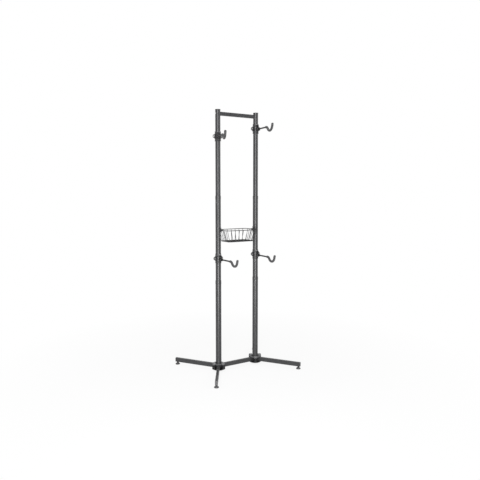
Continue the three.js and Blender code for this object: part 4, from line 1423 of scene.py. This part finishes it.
class BIKERACK_OT_stage(bpy.types.Operator):
    """Makes the pale floor, the soft lamps, the sky and the camera"""

    bl_idname = "bikerack.stage"
    bl_label = "Stage"

    # The floor's dull surface, and how much of it shows white close to the rack
    floor_roughness, floor_gloss, near_white = 0.9, 0.1, 0.88

    def seen_directly(self, tree):
        """1 where a ray comes from the camera, a gloss or a clear piece"""
        rays = tree.nodes.new("ShaderNodeLightPath").outputs
        value = rays["Is Camera Ray"]
        for name in ("Is Glossy Ray", "Is Transmission Ray"):
            value = new_node(tree, "ShaderNodeMath", {0: value, 1: rays[name]}, "MAXIMUM").outputs[0]
        return value

    def show(self, tree, output, cover, lit, shown):
        """Sends one surface to the output, with another laid over it by a share"""
        blend = new_node(tree, "ShaderNodeMixShader", {0: cover, 1: lit.outputs[0], 2: shown.outputs[0]})
        feed(tree, tree.nodes[output], {"Surface": blend.outputs[0]})

    def add_floor(self, view, tone):
        """Wide floor whose shading fades to white away from the rack"""
        reach = view.floor_reach
        mesh = bpy.data.meshes.new("studio_floor")
        corners = [(x * reach, y * reach, 0) for x, y in ((-1, -1), (1, -1), (1, 1), (-1, 1))]
        mesh.from_pydata(corners, [], [(0, 1, 2, 3)])
        floor = bpy.data.objects.new("studio_floor", mesh)
        bpy.context.scene.collection.objects.link(floor)
        material, tree, shader = new_finish("pale floor")
        feed(tree, shader, {
            "Base Color": (*tone, 1),
            "Roughness": self.floor_roughness,
            "Specular IOR Level": self.floor_gloss,
        })
        glow = new_node(tree, "ShaderNodeEmission", {"Color": WHITE})
        away = distance_from_origin(tree, own_place(tree))
        whiten = ranged(tree, away, self.near_white, 1, view.shadow_reach / 3, view.shadow_reach)
        cover = product(tree, self.seen_directly(tree), whiten)
        self.show(tree, "Material Output", cover, shader, glow)
        mesh.materials.append(material)

    def add_sky(self, view):
        """Even light from all round, seen as plain white"""
        world = bpy.data.worlds.new("studio sky")
        bpy.context.scene.world = world
        world.use_nodes = True
        tree = world.node_tree
        lighting = tree.nodes["Background"]
        feed(tree, lighting, {"Color": WHITE, "Strength": view.sky_level})
        shown = new_node(tree, "ShaderNodeBackground", {"Color": WHITE, "Strength": 1.0})
        self.show(tree, "World Output", self.seen_directly(tree), lighting, shown)

    def add_lamp(self, name, place, target, breadth, height, watts):
        """Soft box turned to a target, which the camera doesn't see"""
        data = bpy.data.lights.new(name, "AREA")
        data.shape, data.size, data.size_y, data.energy = "RECTANGLE", breadth, height, watts
        lamp = bpy.data.objects.new(name, data)
        lamp.location = place
        lamp.rotation_euler = (Vector(target) - Vector(place)).to_track_quat("-Z", "Y").to_euler()
        lamp.visible_camera = False
        bpy.context.scene.collection.objects.link(lamp)

    def add_camera(self, view):
        """The camera that the photograph was taken with, as fitted to it"""
        data = bpy.data.cameras.new("photo_camera")
        data.sensor_width, data.lens = SENSOR_WIDTH, view.camera_lens
        data.clip_start, data.clip_end = CLIP_NEAR, CLIP_FAR
        camera = bpy.data.objects.new("photo_camera", data)
        camera.location = view.camera_place
        turn, tilt = view.camera_turn, view.camera_tilt
        level = math.cos(tilt)
        towards = Vector((math.cos(turn) * level, math.sin(turn) * level, -math.sin(tilt)))
        camera.rotation_euler = towards.to_track_quat("-Z", "Y").to_euler()
        bpy.context.scene.collection.objects.link(camera)
        bpy.context.scene.camera = camera

    def execute(self, context):
        view = context.scene.rack_view
        self.add_camera(view)
        self.add_floor(view, context.scene.rack_finishes.floor)
        self.add_sky(view)
        for name, (place, target, breadth, height, watts) in SOFT_BOXES.items():
            self.add_lamp(name, place, target, breadth, height, getattr(view, watts))
        context.scene.view_settings.view_transform = "Standard"
        return {"FINISHED"}


PIECE_OPERATORS = (
    BIKERACK_OT_stage,
    BIKERACK_OT_posts,
    BIKERACK_OT_post_caps,
    BIKERACK_OT_top_crossbar,
    BIKERACK_OT_base_tubes,
    BIKERACK_OT_levelling_feet,
    BIKERACK_OT_hubs,
    BIKERACK_OT_liner_bushes,
    BIKERACK_OT_arm_clamps,
    BIKERACK_OT_arm_screws,
    BIKERACK_OT_hooks,
    BIKERACK_OT_wire_basket,
)


class BIKERACK_PT_pieces(bpy.types.Panel):
    """Lists the rack's operators and sizes"""

    bl_idname = "BIKERACK_PT_pieces"
    bl_label = "Bike rack"
    bl_space_type = "VIEW_3D"
    bl_region_type = "UI"
    bl_category = "Bike Rack"

    def draw(self, context):
        for operator in PIECE_OPERATORS:
            self.layout.operator(operator.bl_idname)
        for name, group in GROUPS.items():
            box = self.layout.box()
            box.label(text=group.__doc__)
            for key in group.__annotations__:
                box.prop(getattr(context.scene, name), key)


def register():
    for name, group in GROUPS.items():
        bpy.utils.register_class(group)
        setattr(bpy.types.Scene, name, bpy.props.PointerProperty(type=group))
    for operator in PIECE_OPERATORS:
        bpy.utils.register_class(operator)
    bpy.utils.register_class(BIKERACK_PT_pieces)


def unregister():
    bpy.utils.unregister_class(BIKERACK_PT_pieces)
    for operator in reversed(PIECE_OPERATORS):
        bpy.utils.unregister_class(operator)
    for name, group in reversed(GROUPS.items()):
        delattr(bpy.types.Scene, name)
        bpy.utils.unregister_class(group)


def main():
    """Makes every piece and the stage"""
    register()
    for operator in PIECE_OPERATORS:
        group, name = operator.bl_idname.split(".")
        getattr(getattr(bpy.ops, group), name)()


if __name__ == "__main__":
    main()
